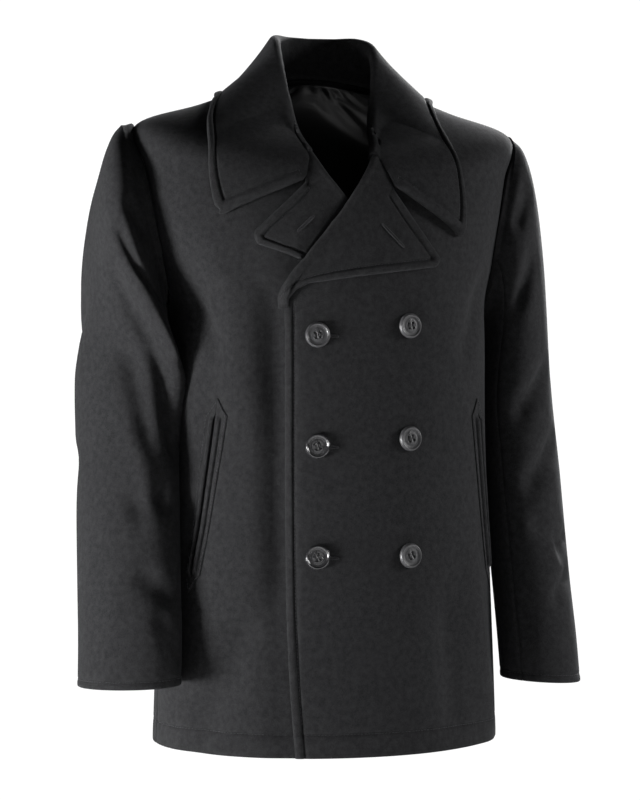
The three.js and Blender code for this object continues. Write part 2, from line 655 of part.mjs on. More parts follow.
function collar() {
  const roundNeck = [0, 0.6, 1.2, 1.8, 2.4, 2.8, 3.2, 3.6, 4, 4.4, 4.8];
  const half = [...roundNeck, 5.06, 5.16, 5.26, 5.37, 5.5, 5.67, 5.84, 6];
  const places = [...half.slice(1).reverse().map((p) => ["right", p]), ...half.map((p) => ["left", p])];
  const grid = places.map(([side, place]) => collarGrid(side, place));
  const [columns, rows] = [places.length - 1, grid[0].length - 1];
  const normalAt = (i, j) => {
    const round = grid[Math.min(i + 1, columns)][j].clone().sub(grid[Math.max(i - 1, 0)][j]);
    const across = grid[i][Math.min(j + 1, rows)].clone().sub(grid[i][Math.max(j - 1, 0)]);
    return round.cross(across).normalize();
  };
  const thickness = Array(rows + 1).fill(doubled).fill(wall, 0, 2);
  thickness[rows - 1] = doubled + 0.3;
  thickness[rows] = doubled - 1.4;
  const outer = (i, j) => grid[i][j].clone().addScaledVector(normalAt(i, j), thickness[j]);
  const inner = (i, j) => grid[i][j].clone();
  return clothWall(columns, rows, outer, inner, false);
}

// A strip laid on a front beside the pocket's slit, towards the front (-1) or the back (1).
function pocketJet(side, towards) {
  const sign = side === "left" ? 1 : -1;
  const rows = 12;
  const place = (out) => (i, j) => {
    const x = mix(pocket.topX, pocket.bottomX, j / rows);
    const z = mix(pocket.topZ, pocket.bottomZ, j / rows);
    const { level, turn } = placeOnFront(x, z);
    const perDegree = bodyPoint(level, turn + 0.5).distanceTo(bodyPoint(level, turn - 0.5));
    const shift = towards * (pocket.slit / 2 + pocket.jet * i);
    return bodyOut(level, sign * (turn + shift / perDegree), out);
  };
  return clothWall(1, rows, place(seam + pocket.proud), place(seam), false);
}

function button(side, row) {
  const points = buttonProfile.map(({ radius, height }) => new THREE.Vector2(radius, height));
  const geometry = new THREE.LatheGeometry(points, 20);
  const x = side === "left" ? buttonColumn : -buttonColumn;
  const place = placeOnFront(x, buttonRows[row][side]);
  const normal = bodyNormal(place.level, place.turn);
  const centre = hang(bodyOut(place.level, place.turn, seam));
  geometry.applyQuaternion(new THREE.Quaternion().setFromUnitVectors(vector(0, 1, 0), normal));
  geometry.translate(centre.x, centre.y, centre.z);
  return geometry;
}

for (const side of ["left", "right"]) {
  add(`front_${side}`, frontPanel(side), melton);
  add(`back_${side}`, backPanel(side), melton);
  add(`top_sleeve_${side}`, sleevePanel(side, seamTurns.back - 360, seamTurns.front, 16), melton);
  add(`under_sleeve_${side}`, sleevePanel(side, seamTurns.front, seamTurns.back, 7), melton);
  add(`lapel_${side}`, lapel(side), melton);
  add(`pocket_welt_${side}_front`, pocketJet(side, -1), melton);
  add(`pocket_welt_${side}_back`, pocketJet(side, 1), melton);
  buttonRows.forEach((_, row) => add(`button_${row + 1}_${side}`, button(side, row), horn));
}
add("collar", collar(), melton);
add("back_lining", backLining(), satin);

export default coat;
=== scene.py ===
"""A double-breasted pea coat in black melton wool, filled out as it is when worn."""
import logging
import math
from dataclasses import dataclass, field
from enum import Enum
from typing import Sequence

import bpy
import numpy as np
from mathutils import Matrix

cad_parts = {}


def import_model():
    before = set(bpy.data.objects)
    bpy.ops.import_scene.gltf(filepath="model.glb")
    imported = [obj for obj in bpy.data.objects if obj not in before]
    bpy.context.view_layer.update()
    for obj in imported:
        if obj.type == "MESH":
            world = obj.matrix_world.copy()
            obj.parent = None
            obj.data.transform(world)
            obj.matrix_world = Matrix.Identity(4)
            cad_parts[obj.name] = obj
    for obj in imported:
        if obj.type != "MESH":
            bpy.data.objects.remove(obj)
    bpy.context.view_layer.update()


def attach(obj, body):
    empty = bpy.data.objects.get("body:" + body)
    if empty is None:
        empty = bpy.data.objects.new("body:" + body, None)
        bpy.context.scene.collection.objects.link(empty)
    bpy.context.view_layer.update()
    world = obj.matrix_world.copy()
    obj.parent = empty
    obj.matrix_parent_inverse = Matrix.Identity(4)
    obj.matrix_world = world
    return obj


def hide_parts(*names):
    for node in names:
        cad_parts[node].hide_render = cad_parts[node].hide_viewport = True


# Lengths are millimetres until a mesh is made; +X is the wearer's left, -Y the front, +Z up.
METRES = 0.001
ROOT = "root"
Array = np.ndarray
log = logging.getLogger("pea_coat")


class Side(Enum):
    """The wearer's sides, with the sign of their X."""

    LEFT = 1
    RIGHT = -1

    @property
    def word(self) -> str:
        """The side's name in node names."""
        return self.name.lower()


class Finish(Enum):
    """The finishes of the coat, named as the record's material slots."""

    MELTON = "melton"
    LINING = "lining"
    BUTTON = "button"
    THREAD = "thread"


@dataclass(frozen=True)
class Ring:
    """A ring of the body: half width, depths, height at the side, and rises at the front and back."""

    name: str
    half: float
    front: float
    back: float
    side: float
    front_rise: float
    back_rise: float
    square: float


@dataclass(frozen=True)
class Fold:
    """A soft fold from one place to another, as turn and height; troughs have a negative depth."""

    turn: float
    z: float
    to_turn: float
    to_z: float
    depth: float
    width: float


@dataclass(frozen=True)
class SleeveRow:
    """A section of the sleeve: its outer and under points, middle, half depth and turn."""

    out_x: float
    out_z: float
    in_x: float
    in_z: float
    middle_y: float
    half: float
    turn: float


@dataclass(frozen=True)
class CollarRow:
    """A section of the collar: where its neck seam, crest and outer edge run."""

    neck_turn: float
    crest: tuple[float, float, float]
    edge: tuple[float, float, float]


@dataclass(frozen=True)
class FrontCut:
    """Corners of a turned lapel and collar leaf, as distance from the centre and height.

    The rim runs from the lapel's tip along its lower edge to the foot of the roll line.
    """

    gorge: tuple[float, float]
    notch: tuple[float, float]
    rim: tuple[tuple[float, float], ...]
    leaf_tip: tuple[float, float]

    @property
    def tip(self) -> tuple[float, float]:
        """The lapel's tip."""
        return self.rim[0]

    @property
    def foot(self) -> tuple[float, float]:
        """The foot of the roll line."""
        return self.rim[-1]


WALL = 3.0
SEAM = 0.4
BREAST_DROP = 4.0
DROP_START = 37.0
HANG_SHIFT = -15.0
ARMHOLE_DEPTH = 52.0
SLEEVE_SEAMS = (118.0, 242.0)

BODY_RINGS = (
    Ring("neck", 78, 60, 66, -8, -72, 16, 2.1),
    Ring("mid shoulder", 152, 100, 98, -35, -62, 12, 2.1),
    Ring("shoulder", 228, 124, 120, -62, -54, -2, 2.2),
    Ring("yoke", 224, 138, 133, -112, -36, -4, 2.2),
    Ring("chest", 217, 146, 140, -162, -26, -4, 2.2),
    Ring("underarm", 204, 150, 142, -214, -14, 0, 2.2),
    Ring("armpit", 190, 152, 142, -264, 0, 0, 2.2),
    Ring("breast", 189, 153, 139, -330, 0, 0, 2.2),
    Ring("waist", 190, 153, 135, -410, 0, 0, 2.15),
    Ring("high hip", 194, 153, 140, -500, 0, 0, 2.1),
    Ring("hip", 198, 154, 147, -600, 0, 0, 2.1),
    Ring("skirt", 202, 155, 151, -700, -2, 0, 2.1),
    Ring("hem", 204, 156, 153, -768, -4, 0, 2.1),
)
SHOULDER, ARMPIT, HEM = 2, 6, 12

FRONT_EDGE = (
    (0, 51, 51), (-34, 52, 52), (-54, 53, 53), (-87, 47, 50), (-105, 37, 43), (-130, 19, 29),
    (-154, 1, 8), (-179, -20, -17), (-218, -54, -54), (-242, -76, -76), (-262, -87, -87),
    (-320, -89, -89), (-600, -88, -88), (-700, -84, -84), (-780, -78, -78),
)

FRONT_CUTS = {
    Side.LEFT: FrontCut(
        (36, -107), (50, -139),
        ((104, -219), (92, -226), (5, -237), (-58, -246), (-73, -253), (-82, -263), (-86, -274)), (135, -191)),
    Side.RIGHT: FrontCut(
        (42, -103), (50, -133), ((114, -192), (108, -203), (80, -213), (62, -221)), (144, -171)),
}

LEAF_EDGES = {
    Side.LEFT: ((-20, 119), (-40, 125), (-60, 129), (-80, 132.5), (-110, 136), (-140, 139), (-165, 139.5), (-191, 135)),
    Side.RIGHT: ((-20, 125), (-37, 135.5), (-50, 143), (-64, 148.5), (-87, 153), (-121, 154), (-145, 151.5), (-171, 144)),
}

COLLAR_ROWS = (
    CollarRow(180, (0, 66, 52), (0, 118, -46)),
    CollarRow(150, (28, 60, 52), (56, 110, -46)),
    CollarRow(120, (49, 38, 50), (101, 78, -44)),
    CollarRow(92, (57, 8, 38), (125, 20, -33)),
    CollarRow(70, (57, -20, 8), (148, -38, -55)),
    CollarRow(52, (54, -38, -24), (151, -74, -95)),
)

SLEEVE_ROWS = {
    Side.LEFT: (
        SleeveRow(236, -64, 192.5, -267, 4, 58, 0),
        SleeveRow(247, -76, 195, -275, 6, 66, 4),
        SleeveRow(258, -105, 196, -284, 9, 71, 8),
        SleeveRow(268, -150, 196.5, -296, 13, 74, 12),
        SleeveRow(276, -205, 196.5, -312, 17, 75, 15),
        SleeveRow(281, -265, 196, -332, 18, 74, 17),
        SleeveRow(285, -325, 195.5, -355, 17, 73, 18),
        SleeveRow(288, -385, 195.5, -390, 11, 71, 20),
        SleeveRow(291, -450, 197, -450, -1, 69, 20),
        SleeveRow(293, -520, 199, -520, -14, 66, 20),
        SleeveRow(295, -590, 201, -588, -28, 63, 20),
        SleeveRow(297, -650, 202, -646, -42, 60, 20),
        SleeveRow(298, -706, 203, -700, -53, 57, 20),
    ),
    Side.RIGHT: (
        SleeveRow(245, -62, 192.5, -267, 2, 58, 8),
        SleeveRow(257, -76, 195, -275, 2, 67, 16),
        SleeveRow(268, -105, 195, -284, 3, 77, 23),
        SleeveRow(275, -150, 194, -296, 5, 87, 28),
        SleeveRow(274, -205, 193, -312, 5, 95, 31),
        SleeveRow(270, -265, 193, -332, 5, 93, 33),
        SleeveRow(271, -325, 194, -355, 4, 84, 34),
        SleeveRow(277, -385, 195, -390, 1, 75, 35),
        SleeveRow(281, -450, 196, -450, -8, 70, 36),
        SleeveRow(284, -520, 197, -518, -20, 69, 37),
        SleeveRow(286, -588, 198, -584, -32, 68, 38),
        SleeveRow(288, -644, 199, -640, -44, 67, 39),
        SleeveRow(292, -696, 200, -692, -53, 65, 40),
    ),
}

BODY_FOLDS = (
    Fold(-30, -250, -27, -640, -5, 15),
    Fold(-33, -600, -62, -775, -6, 22),
    Fold(-48, -200, -40, -420, 4, 24),
    Fold(-56, -330, -62, -560, -3.5, 18),
    Fold(62, -230, 40, -330, -4, 16),
    Fold(46, -560, 58, -775, 5, 24),
    Fold(30, -590, 34, -760, -3.5, 18),
    Fold(-66, -250, -52, -330, -4, 14),
    Fold(128, -240, 140, -470, -5, 22),
    Fold(-130, -230, -146, -450, -5, 22),
    Fold(155, -560, 150, -775, 5, 26),
    Fold(-158, -540, -152, -775, 5, 26),
)
BODY_FOLD_DEPTH = 1.4
SLEEVE_FOLD_DEPTH = 1.55
SEAM_TURN = 0.08
SLEEVE_FOLDS = {
    Side.RIGHT: (
        Fold(52, -150, 92, -192, -5.5, 9),
        Fold(36, -180, 60, -232, -5, 9),
        Fold(58, -226, 104, -268, -6, 10),
        Fold(14, -228, 44, -300, -7, 12),
        Fold(44, -296, 98, -440, -10, 14),
        Fold(18, -312, 52, -430, -7, 12),
        Fold(66, -280, 92, -330, 4, 12),
        Fold(28, -350, 60, -520, 4, 13),
        Fold(30, -500, 84, -478, -5.5, 13),
        Fold(36, -566, 88, -600, -4.5, 14),
        Fold(60, -610, 96, -672, -3.5, 12),
        Fold(130, -235, 142, -330, 8, 17),
        Fold(300, -430, 262, -500, -6, 16),
        Fold(318, -250, 275, -330, -6, 17),
    ),
    Side.LEFT: (
        Fold(40, -120, 82, -175, -5.5, 11),
        Fold(52, -200, 98, -270, -6, 12),
        Fold(20, -330, 95, -400, -7, 14),
        Fold(12, -420, 88, -480, -8, 14),
        Fold(20, -540, 84, -520, -6, 12),
        Fold(6, -575, 60, -610, -5, 11),
        Fold(2, -530, 40, -560, -4, 10),
        Fold(305, -440, 262, -490, -6, 16),
        Fold(318, -240, 275, -320, -6, 17),
    ),
}


def smooth(value: Array | float) -> Array:
    """Returns a share from 0 to 1 with soft ends."""
    k = np.clip(value, 0, 1)
    return k * k * (3 - 2 * k)


def mix(a: Array | float, b: Array | float, share: Array | float) -> Array | float:
    """Returns the value at a share of the way from a to b."""
    return a + (b - a) * share


def unit(way: Array) -> Array:
    """Returns vectors scaled to a length of one."""
    return way / np.maximum(np.linalg.norm(way, axis=-1, keepdims=True), 1e-9)


def signed_power(value: Array, power: Array | float) -> Array:
    """Returns a power that keeps the sign of its base."""
    return np.sign(value) * np.abs(value) ** power


def column(values: Sequence[float] | Array, place: Array | float) -> Array:
    """Smooth value of a table's column at places between its rows.

    Args:
        values: The column, a number or a vector for each row.
        place: Places, counted in rows.

    Returns:
        The value at each place, with the column's vector axis last.
    """
    table = np.asarray(values, dtype=float)
    last = len(table) - 1
    t = np.clip(np.asarray(place, dtype=float), 0, last)
    i = np.minimum(np.floor(t).astype(int), last - 1)
    f = t - i
    a, b = table[i], table[i + 1]
    if table.ndim > 1:
        f = f[..., None]
    first, final = (i <= 0), (i >= last - 1)
    if table.ndim > 1:
        first, final = first[..., None], final[..., None]
    before = np.where(first, b - a, (b - table[np.maximum(i - 1, 0)]) / 2)
    after = np.where(final, b - a, (table[np.minimum(i + 2, last)] - a) / 2)
    return (
        a * (2 * f**3 - 3 * f**2 + 1)
        + before * (f**3 - 2 * f**2 + f)
        + b * (3 * f**2 - 2 * f**3)
        + after * (f**3 - f**2)
    )


def edge_at(z: Array | float, side: Side) -> Array:
    """Distance of a front's edge or roll line from the centre at each height."""
    table = np.array(FRONT_EDGE, dtype=float)
    place = np.interp(-np.asarray(z, dtype=float), -table[:, 0], np.arange(len(table)))
    return column(table[:, 1 if side is Side.LEFT else 2], place)


def along_line(corners: Sequence[Sequence[float]], share: Array | float) -> tuple[Array, Array]:
    """Points on straight lines through corners, at shares of their whole length."""
    points = np.asarray(corners, dtype=float)
    lengths = np.linalg.norm(np.diff(points, axis=0), axis=1)
    place = np.concatenate([[0], np.cumsum(lengths)]) / lengths.sum()
    share = np.clip(share, 0, 1)
    return np.interp(share, place, points[:, 0]), np.interp(share, place, points[:, 1])


def fold_height(folds: Sequence[Fold], turn: Array, z: Array, per_turn: float) -> Array:
    """Sum of the folds at places on the cloth.

    Args:
        folds: The folds that cross the piece.
        turn: Turns in degrees.
        z: Heights.
        per_turn: Length of one degree of turn.

    Returns:
        How far the cloth stands out at each place.
    """
    height = np.zeros(np.broadcast(turn, z).shape)
    for fold in folds:
        along = np.array([(fold.to_turn - fold.turn) * per_turn, fold.to_z - fold.z])
        x, y = (turn - fold.turn) * per_turn, z - fold.z
        place = (x * along[0] + y * along[1]) / (along @ along)
        held = np.clip(place, 0, 1)
        aside = np.hypot(x - along[0] * held, y - along[1] * held) / fold.width
        height += fold.depth * np.exp(-(aside**2)) * smooth((place + 0.15) / 0.4) * smooth((1.15 - place) / 0.4)
    return height


def hang(point: Array) -> Array:
    """Lets the upper front hang a little to the wearer's right."""
    x, y, z = point[..., 0], point[..., 1], point[..., 2]
    shift = HANG_SHIFT * (1 - 0.8 * smooth((-z - 165) / 140)) * smooth((20 - y) / 110)
    return np.stack([x + shift, y, z], axis=-1)


class BodyForm:
    """The coat's body as one surface over ring levels and turns; 0 degrees is the front, 90 the left."""

    ring_values = {key: [getattr(ring, key) for ring in BODY_RINGS] for key in
                   ("half", "front", "back", "side", "front_rise", "back_rise", "square")}

    def value(self, key: str, level: Array | float) -> Array:
        """Returns a ring value at each level."""
        return column(self.ring_values[key], level)

    def point(self, level: Array, turn: Array) -> Array:
        """Returns points of the surface."""
        s, c = np.sin(np.radians(turn)), np.cos(np.radians(turn))
        power = 2 / self.value("square", level)
        depth = np.where(c >= 0, self.value("front", level), self.value("back", level))
        rise = np.where(c >= 0, self.value("front_rise", level), self.value("back_rise", level))
        x = self.value("half", level) * signed_power(s, power)
        y = -depth * signed_power(c, power)
        z = self.value("side", level) + rise * c * c
        return np.stack(np.broadcast_arrays(x, y, z), axis=-1)

    def normal(self, level: Array, turn: Array) -> Array:
        """Returns the ways out of the surface."""
        low, high = np.clip(level - 0.02, 0, HEM), np.clip(level + 0.02, 0, HEM)
        down = self.point(high, turn) - self.point(low, turn)
        around = self.point(level, turn + 1.5) - self.point(level, turn - 1.5)
        return unit(np.cross(down, around))

    def out(self, level: Array, turn: Array, height: Array | float) -> Array:
        """Returns surface points moved out, folds included."""
        base = self.point(level, turn)
        raised = BODY_FOLD_DEPTH * fold_height(BODY_FOLDS, turn, base[..., 2], 3) + height
        return base + self.normal(level, turn) * raised[..., None]

    def place_on_front(self, x: Array, z: Array) -> tuple[Array, Array]:
        """Finds the level and turn of front places.

        Args:
            x: Distances from the middle.
            z: Heights.

        Returns:
            Ring levels and turns.
        """
        x, z = np.broadcast_arrays(np.asarray(x, float), np.asarray(z, float))
        low, high = np.zeros(x.shape), np.full(x.shape, float(HEM))
        turn = np.zeros(x.shape)
        for _ in range(34):
            level = (low + high) / 2
            power = self.value("square", level) / 2
            ratio = np.clip(signed_power(x / self.value("half", level), power), -1, 1)
            turn = np.degrees(np.arcsin(ratio))
            above = self.point(level, turn)[..., 2] > z
            low, high = np.where(above, level, low), np.where(above, high, level)
        return (low + high) / 2, turn

    def edge_turn(self, level: Array, side: Side) -> Array:
        """Returns the turn of a front's inner edge on each ring, counted towards its own side."""
        low, high = np.full(level.shape, -80.0), np.full(level.shape, 80.0)
        for _ in range(28):
            turn = (low + high) / 2
            point = self.point(level, turn)
            inside = point[..., 0] < edge_at(point[..., 2], side)
            low, high = np.where(inside, turn, low), np.where(inside, high, turn)
        return (low + high) / 2

    def armhole_turn(self, level: Array, towards: str) -> Array:
        """Returns the turn of the armhole's edge, towards the front or the back of the left side."""
        level = np.asarray(level, dtype=float)
        z = self.value("side", level)
        top, bottom = BODY_RINGS[SHOULDER].side, BODY_RINGS[ARMPIT].side
        share = np.clip((top - z) / (top - bottom), 0, 1)
        depth = ARMHOLE_DEPTH * np.maximum(np.sin(np.pi * share), 0) ** 0.6
        ratio = depth / self.value(towards, level)
        angle = np.degrees(np.arccos(np.clip(ratio ** (self.value("square", level) / 2), 0, 1)))
        inside = (level > SHOULDER) & (level < ARMPIT)
        angle = np.where(inside, angle, 90.0)
        return angle if towards == "front" else 180 - angle

    def level_at_side(self, z: Array) -> Array:
        """Returns the levels whose side stands at each height."""
        levels = np.linspace(0, HEM, 1200)
        return np.interp(-np.asarray(z), -self.value("side", levels), levels)

    def nearest(self, point: Array) -> tuple[Array, Array]:
        """Finds the level and turn of the surface nearest to each point, on the upper body."""
        flat = point.reshape(-1, 3)
        levels, turns = np.meshgrid(np.linspace(0, 6, 25), np.arange(-180, 180, 6.0), indexing="ij")
        seen = self.point(levels, turns).reshape(-1, 3)
        pick = np.argmin(((flat[:, None, :] - seen[None]) ** 2).sum(-1), axis=1)
        level, turn = levels.ravel()[pick], turns.ravel()[pick]
        for step_level, step_turn in ((0.08, 2.0), (0.02, 0.5), (0.005, 0.12)):
            grid = np.arange(-3, 4)
            near_level = np.clip(level[:, None, None] + grid[None, :, None] * step_level, 0, HEM)
            near_turn = turn[:, None, None] + grid[None, None, :] * step_turn
            near_level, near_turn = np.broadcast_arrays(near_level, near_turn)
            gap = ((self.point(near_level, near_turn) - flat[:, None, None, :]) ** 2).sum(-1)
            pick = np.argmin(gap.reshape(len(flat), -1), axis=1)
            rows = np.arange(len(flat))
            level = near_level.reshape(len(flat), -1)[rows, pick]
            turn = near_turn.reshape(len(flat), -1)[rows, pick]
        return level.reshape(point.shape[:-1]), turn.reshape(point.shape[:-1])

    def rest_on(self, point: Array, clearance: Array | float) -> Array:
        """Moves points out until they lie clear of the body."""
        level, turn = self.nearest(point)
        normal = self.normal(level, turn)
        height = ((point - self.point(level, turn)) * normal).sum(-1)
        return point + normal * np.maximum(clearance - height, 0)[..., None]


BODY = BodyForm()


def under_left(point: Array) -> Array:
    """How deep the right front lies below the surface, under the left one."""
    inside = point[..., 0] - edge_at(point[..., 2], Side.LEFT)
    return BREAST_DROP * smooth((inside + DROP_START) / (DROP_START - 3))


def front_out(side: Side, x: Array, z: Array, height: Array | float) -> Array:
    """Points above a front.

    Args:
        side: Which front.
        x: Distances from the centre towards that side.
        z: Heights.
        height: How far above the cloth.

    Returns:
        The points, before the coat hangs.
    """
    level, turn = BODY.place_on_front(np.asarray(x) * side.value, z)
    sunk = 0 if side is Side.LEFT else under_left(BODY.point(level, turn))
    return BODY.out(level, turn, height - sunk)


@dataclass(frozen=True)
class Wool:
    """Black felted melton: its colour, nap and softness."""

    name: str = "melton_wool"
    dark: tuple[float, float, float] = (0.0125, 0.0126, 0.0132)
    light: tuple[float, float, float] = (0.0245, 0.0247, 0.0258)
    roughness: float = 0.97
    sheen: float = 0.03
    sheen_tint: tuple[float, float, float] = (0.55, 0.57, 0.62)
    specular: float = 0.06
    nap_scale: float = 900.0
    clump_scale: float = 170.0
    bump: float = 0.55

    def build(self) -> bpy.types.Material:
        """Returns the material."""
        return cloth_material(self)


@dataclass(frozen=True)
class Satin:
    """Black satin lining with a fine rib and a soft shine."""

    name: str = "satin_lining"
    dark: tuple[float, float, float] = (0.0015, 0.0015, 0.0017)
    light: tuple[float, float, float] = (0.003, 0.003, 0.0034)
    roughness: float = 0.36
    sheen: float = 0.02
    sheen_tint: tuple[float, float, float] = (0.8, 0.8, 0.85)
    specular: float = 0.22
    nap_scale: float = 2600.0
    clump_scale: float = 90.0
    bump: float = 0.12

    def build(self) -> bpy.types.Material:
        """Returns the material."""
        return cloth_material(self)


@dataclass(frozen=True)
class Thread:
    """Black twisted thread, a little smoother than the wool."""

    name: str = "black_thread"
    dark: tuple[float, float, float] = (0.010, 0.010, 0.011)
    light: tuple[float, float, float] = (0.028, 0.028, 0.030)
    roughness: float = 0.6
    sheen: float = 0.15
    sheen_tint: tuple[float, float, float] = (0.7, 0.7, 0.75)
    specular: float = 0.2
    nap_scale: float = 3200.0
    clump_scale: float = 600.0
    bump: float = 0.3

    def build(self) -> bpy.types.Material:
        """Returns the material."""
        return cloth_material(self)


@dataclass(frozen=True)
class Horn:
    """Dark moulded button plastic with faint clouds."""

    name: str
    dark: tuple[float, float, float]
    light: tuple[float, float, float]
    roughness: float
    coat: float

    def build(self) -> bpy.types.Material:
        """Returns the material."""
        material, nodes, links, shader = new_material(self.name)
        shader.inputs["Coat Weight"].default_value = self.coat
        shader.inputs["Coat Roughness"].default_value = 0.12
        noise = add_noise(nodes, links, 120.0, 4.0)
        ramp = add_ramp(nodes, links, noise, self.dark, self.light)
        links.new(ramp.outputs["Color"], shader.inputs["Base Color"])
        rough = nodes.new("ShaderNodeMapRange")
        rough.inputs["To Min"].default_value = self.roughness * 0.8
        rough.inputs["To Max"].default_value = self.roughness * 1.25
        links.new(noise.outputs["Fac"], rough.inputs["Value"])
        links.new(rough.outputs["Result"], shader.inputs["Roughness"])
        bump = nodes.new("ShaderNodeBump")
        bump.inputs["Strength"].default_value = 0.12
        bump.inputs["Distance"].default_value = 0.0002
        links.new(add_noise(nodes, links, 900.0, 3.0).outputs["Fac"], bump.inputs["Height"])
        links.new(bump.outputs["Normal"], shader.inputs["Normal"])
        return material


def new_material(name: str) -> tuple:
    """Makes an empty material.

    Args:
        name: The material's name.

    Returns:
        The material, its nodes, its links and its shader.
    """
    material = bpy.data.materials.new(name)
    material.use_nodes = True
    nodes, links = material.node_tree.nodes, material.node_tree.links
    return material, nodes, links, nodes["Principled BSDF"]


def add_noise(nodes: bpy.types.Nodes, links: bpy.types.NodeLinks, scale: float, detail: float) -> bpy.types.Node:
    """Adds noise in the object's own space and returns its node."""
    place = nodes.new("ShaderNodeTexCoord")
    noise = nodes.new("ShaderNodeTexNoise")
    noise.inputs["Scale"].default_value = scale
    noise.inputs["Detail"].default_value = detail
    links.new(place.outputs["Object"], noise.inputs["Vector"])
    return noise


def add_ramp(nodes: bpy.types.Nodes, links: bpy.types.NodeLinks, source: bpy.types.Node,
             dark: tuple[float, float, float], light: tuple[float, float, float]) -> bpy.types.Node:
    """Adds a two-colour ramp over a noise and returns its node."""
    ramp = nodes.new("ShaderNodeValToRGB")
    ramp.color_ramp.elements[0].position = 0.32
    ramp.color_ramp.elements[1].position = 0.68
    ramp.color_ramp.elements[0].color = (*dark, 1)
    ramp.color_ramp.elements[1].color = (*light, 1)
    links.new(source.outputs["Fac"], ramp.inputs["Fac"])
    return ramp


def cloth_material(cloth: Wool | Satin | Thread) -> bpy.types.Material:
    """Makes a fibrous material.

    Args:
        cloth: The finish whose colours, nap and sheen it has.

    Returns:
        The material.
    """
    material, nodes, links, shader = new_material(cloth.name)
    shader.inputs["Roughness"].default_value = cloth.roughness
    shader.inputs["Sheen Weight"].default_value = cloth.sheen
    shader.inputs["Sheen Roughness"].default_value = 0.45
    shader.inputs["Sheen Tint"].default_value = (*cloth.sheen_tint, 1)
    shader.inputs["Specular IOR Level"].default_value = cloth.specular
    nap = add_noise(nodes, links, cloth.nap_scale, 6.0)
    clump = add_noise(nodes, links, cloth.clump_scale, 5.0)
    both = nodes.new("ShaderNodeMath")
    both.operation = "MULTIPLY_ADD"
    links.new(nap.outputs["Fac"], both.inputs[0])
    both.inputs[1].default_value = 0.55
    half = nodes.new("ShaderNodeMath")
    half.operation = "MULTIPLY"
    half.inputs[1].default_value = 0.45
    links.new(clump.outputs["Fac"], half.inputs[0])
    links.new(half.outputs["Value"], both.inputs[2])
    ramp = nodes.new("ShaderNodeValToRGB")
    ramp.color_ramp.elements[0].position = 0.38
    ramp.color_ramp.elements[1].position = 0.62
    ramp.color_ramp.elements[0].color = (*cloth.dark, 1)
    ramp.color_ramp.elements[1].color = (*cloth.light, 1)
    links.new(both.outputs["Value"], ramp.inputs["Fac"])
    links.new(ramp.outputs["Color"], shader.inputs["Base Color"])
    bump = nodes.new("ShaderNodeBump")
    bump.inputs["Strength"].default_value = cloth.bump
    bump.inputs["Distance"].default_value = 0.0006
    links.new(both.outputs["Value"], bump.inputs["Height"])
    links.new(bump.outputs["Normal"], shader.inputs["Normal"])
    return material


class Wardrobe:
    """Builds each finish once and gives it out."""

    satin_horn = Horn("button_satin", (0.03, 0.03, 0.032), (0.05, 0.05, 0.053), 0.45, 0.1)
    gloss_horn = Horn("button_gloss", (0.012, 0.012, 0.013), (0.03, 0.03, 0.032), 0.22, 0.6)

    def __init__(self) -> None:
        """Builds the finishes."""
        self.made = {
            Finish.MELTON: Wool().build(),
            Finish.LINING: Satin().build(),
            Finish.THREAD: Thread().build(),
            Finish.BUTTON: self.satin_horn.build(),
        }
        self.gloss_button = self.gloss_horn.build()

    def give(self, finish: Finish) -> bpy.types.Material:
        """Returns a finish's material."""
        return self.made[finish]


def make_object(name: str, vertices: Array, faces: Sequence[Sequence[int]], material: bpy.types.Material) -> bpy.types.Object:
    """Makes a smooth mesh object that rides on the coat.

    Args:
        name: The piece's name.
        vertices: Its points, in millimetres.
        faces: Its faces.
        material: Its material.

    Returns:
        The object.
    """
    mesh = bpy.data.meshes.new(name)
    mesh.from_pydata((np.asarray(vertices) * METRES).tolist(), [], [list(f) for f in faces])
    mesh.validate()
    mesh.update()
    mesh.polygons.foreach_set("use_smooth", [True] * len(mesh.polygons))
    mesh.materials.append(material)
    piece = bpy.data.objects.new(name, mesh)
    bpy.context.scene.collection.objects.link(piece)
    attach(piece, ROOT)
    return piece


def wall_faces(rows: int, columns: int) -> list[tuple[int, int, int, int]]:
    """Faces of a closed wall whose outer points come first, then its inner ones.

    Args:
        rows: Rows of points.
        columns: Columns of points.

    Returns:
        The faces, facing out when rows run down and columns run to the wearer's left.
    """
    layer = rows * columns
    faces = []
    for j in range(rows - 1):
        for i in range(columns - 1):
            a, b = j * columns + i, j * columns + i + 1
            c, d = b + columns, a + columns
            faces.append((a, d, c, b))
            faces.append((a + layer, b + layer, c + layer, d + layer))
    rim = [i for i in range(columns)]
    rim += [j * columns + columns - 1 for j in range(1, rows)]
    rim += [(rows - 1) * columns + i for i in range(columns - 2, -1, -1)]
    rim += [j * columns for j in range(rows - 2, 0, -1)]
    for k, a in enumerate(rim):
        b = rim[(k + 1) % len(rim)]
        faces.append((a, b, b + layer, a + layer))
    return faces


def facing_out(vertices: Array, faces: list[tuple[int, ...]]) -> list[tuple[int, ...]]:
    """Returns the faces, turned round when they point into the solid."""
    quads = np.array(faces)
    a, b, c, d = (vertices[quads[:, k]] for k in range(4))
    volume = (a * np.cross(b, c)).sum() + (a * np.cross(c, d)).sum()
    return faces if volume > 0 else [face[::-1] for face in faces]


def make_wall(name: str, outer: Array, inner: Array, material: bpy.types.Material) -> bpy.types.Object:
    """Makes a closed cloth wall from its outer and inner grids of points."""
    rows, columns = outer.shape[:2]
    vertices = np.concatenate([hang(outer).reshape(-1, 3), hang(inner).reshape(-1, 3)])
    faces = facing_out(vertices, wall_faces(rows, columns))
    return make_object(name, vertices, faces, material)


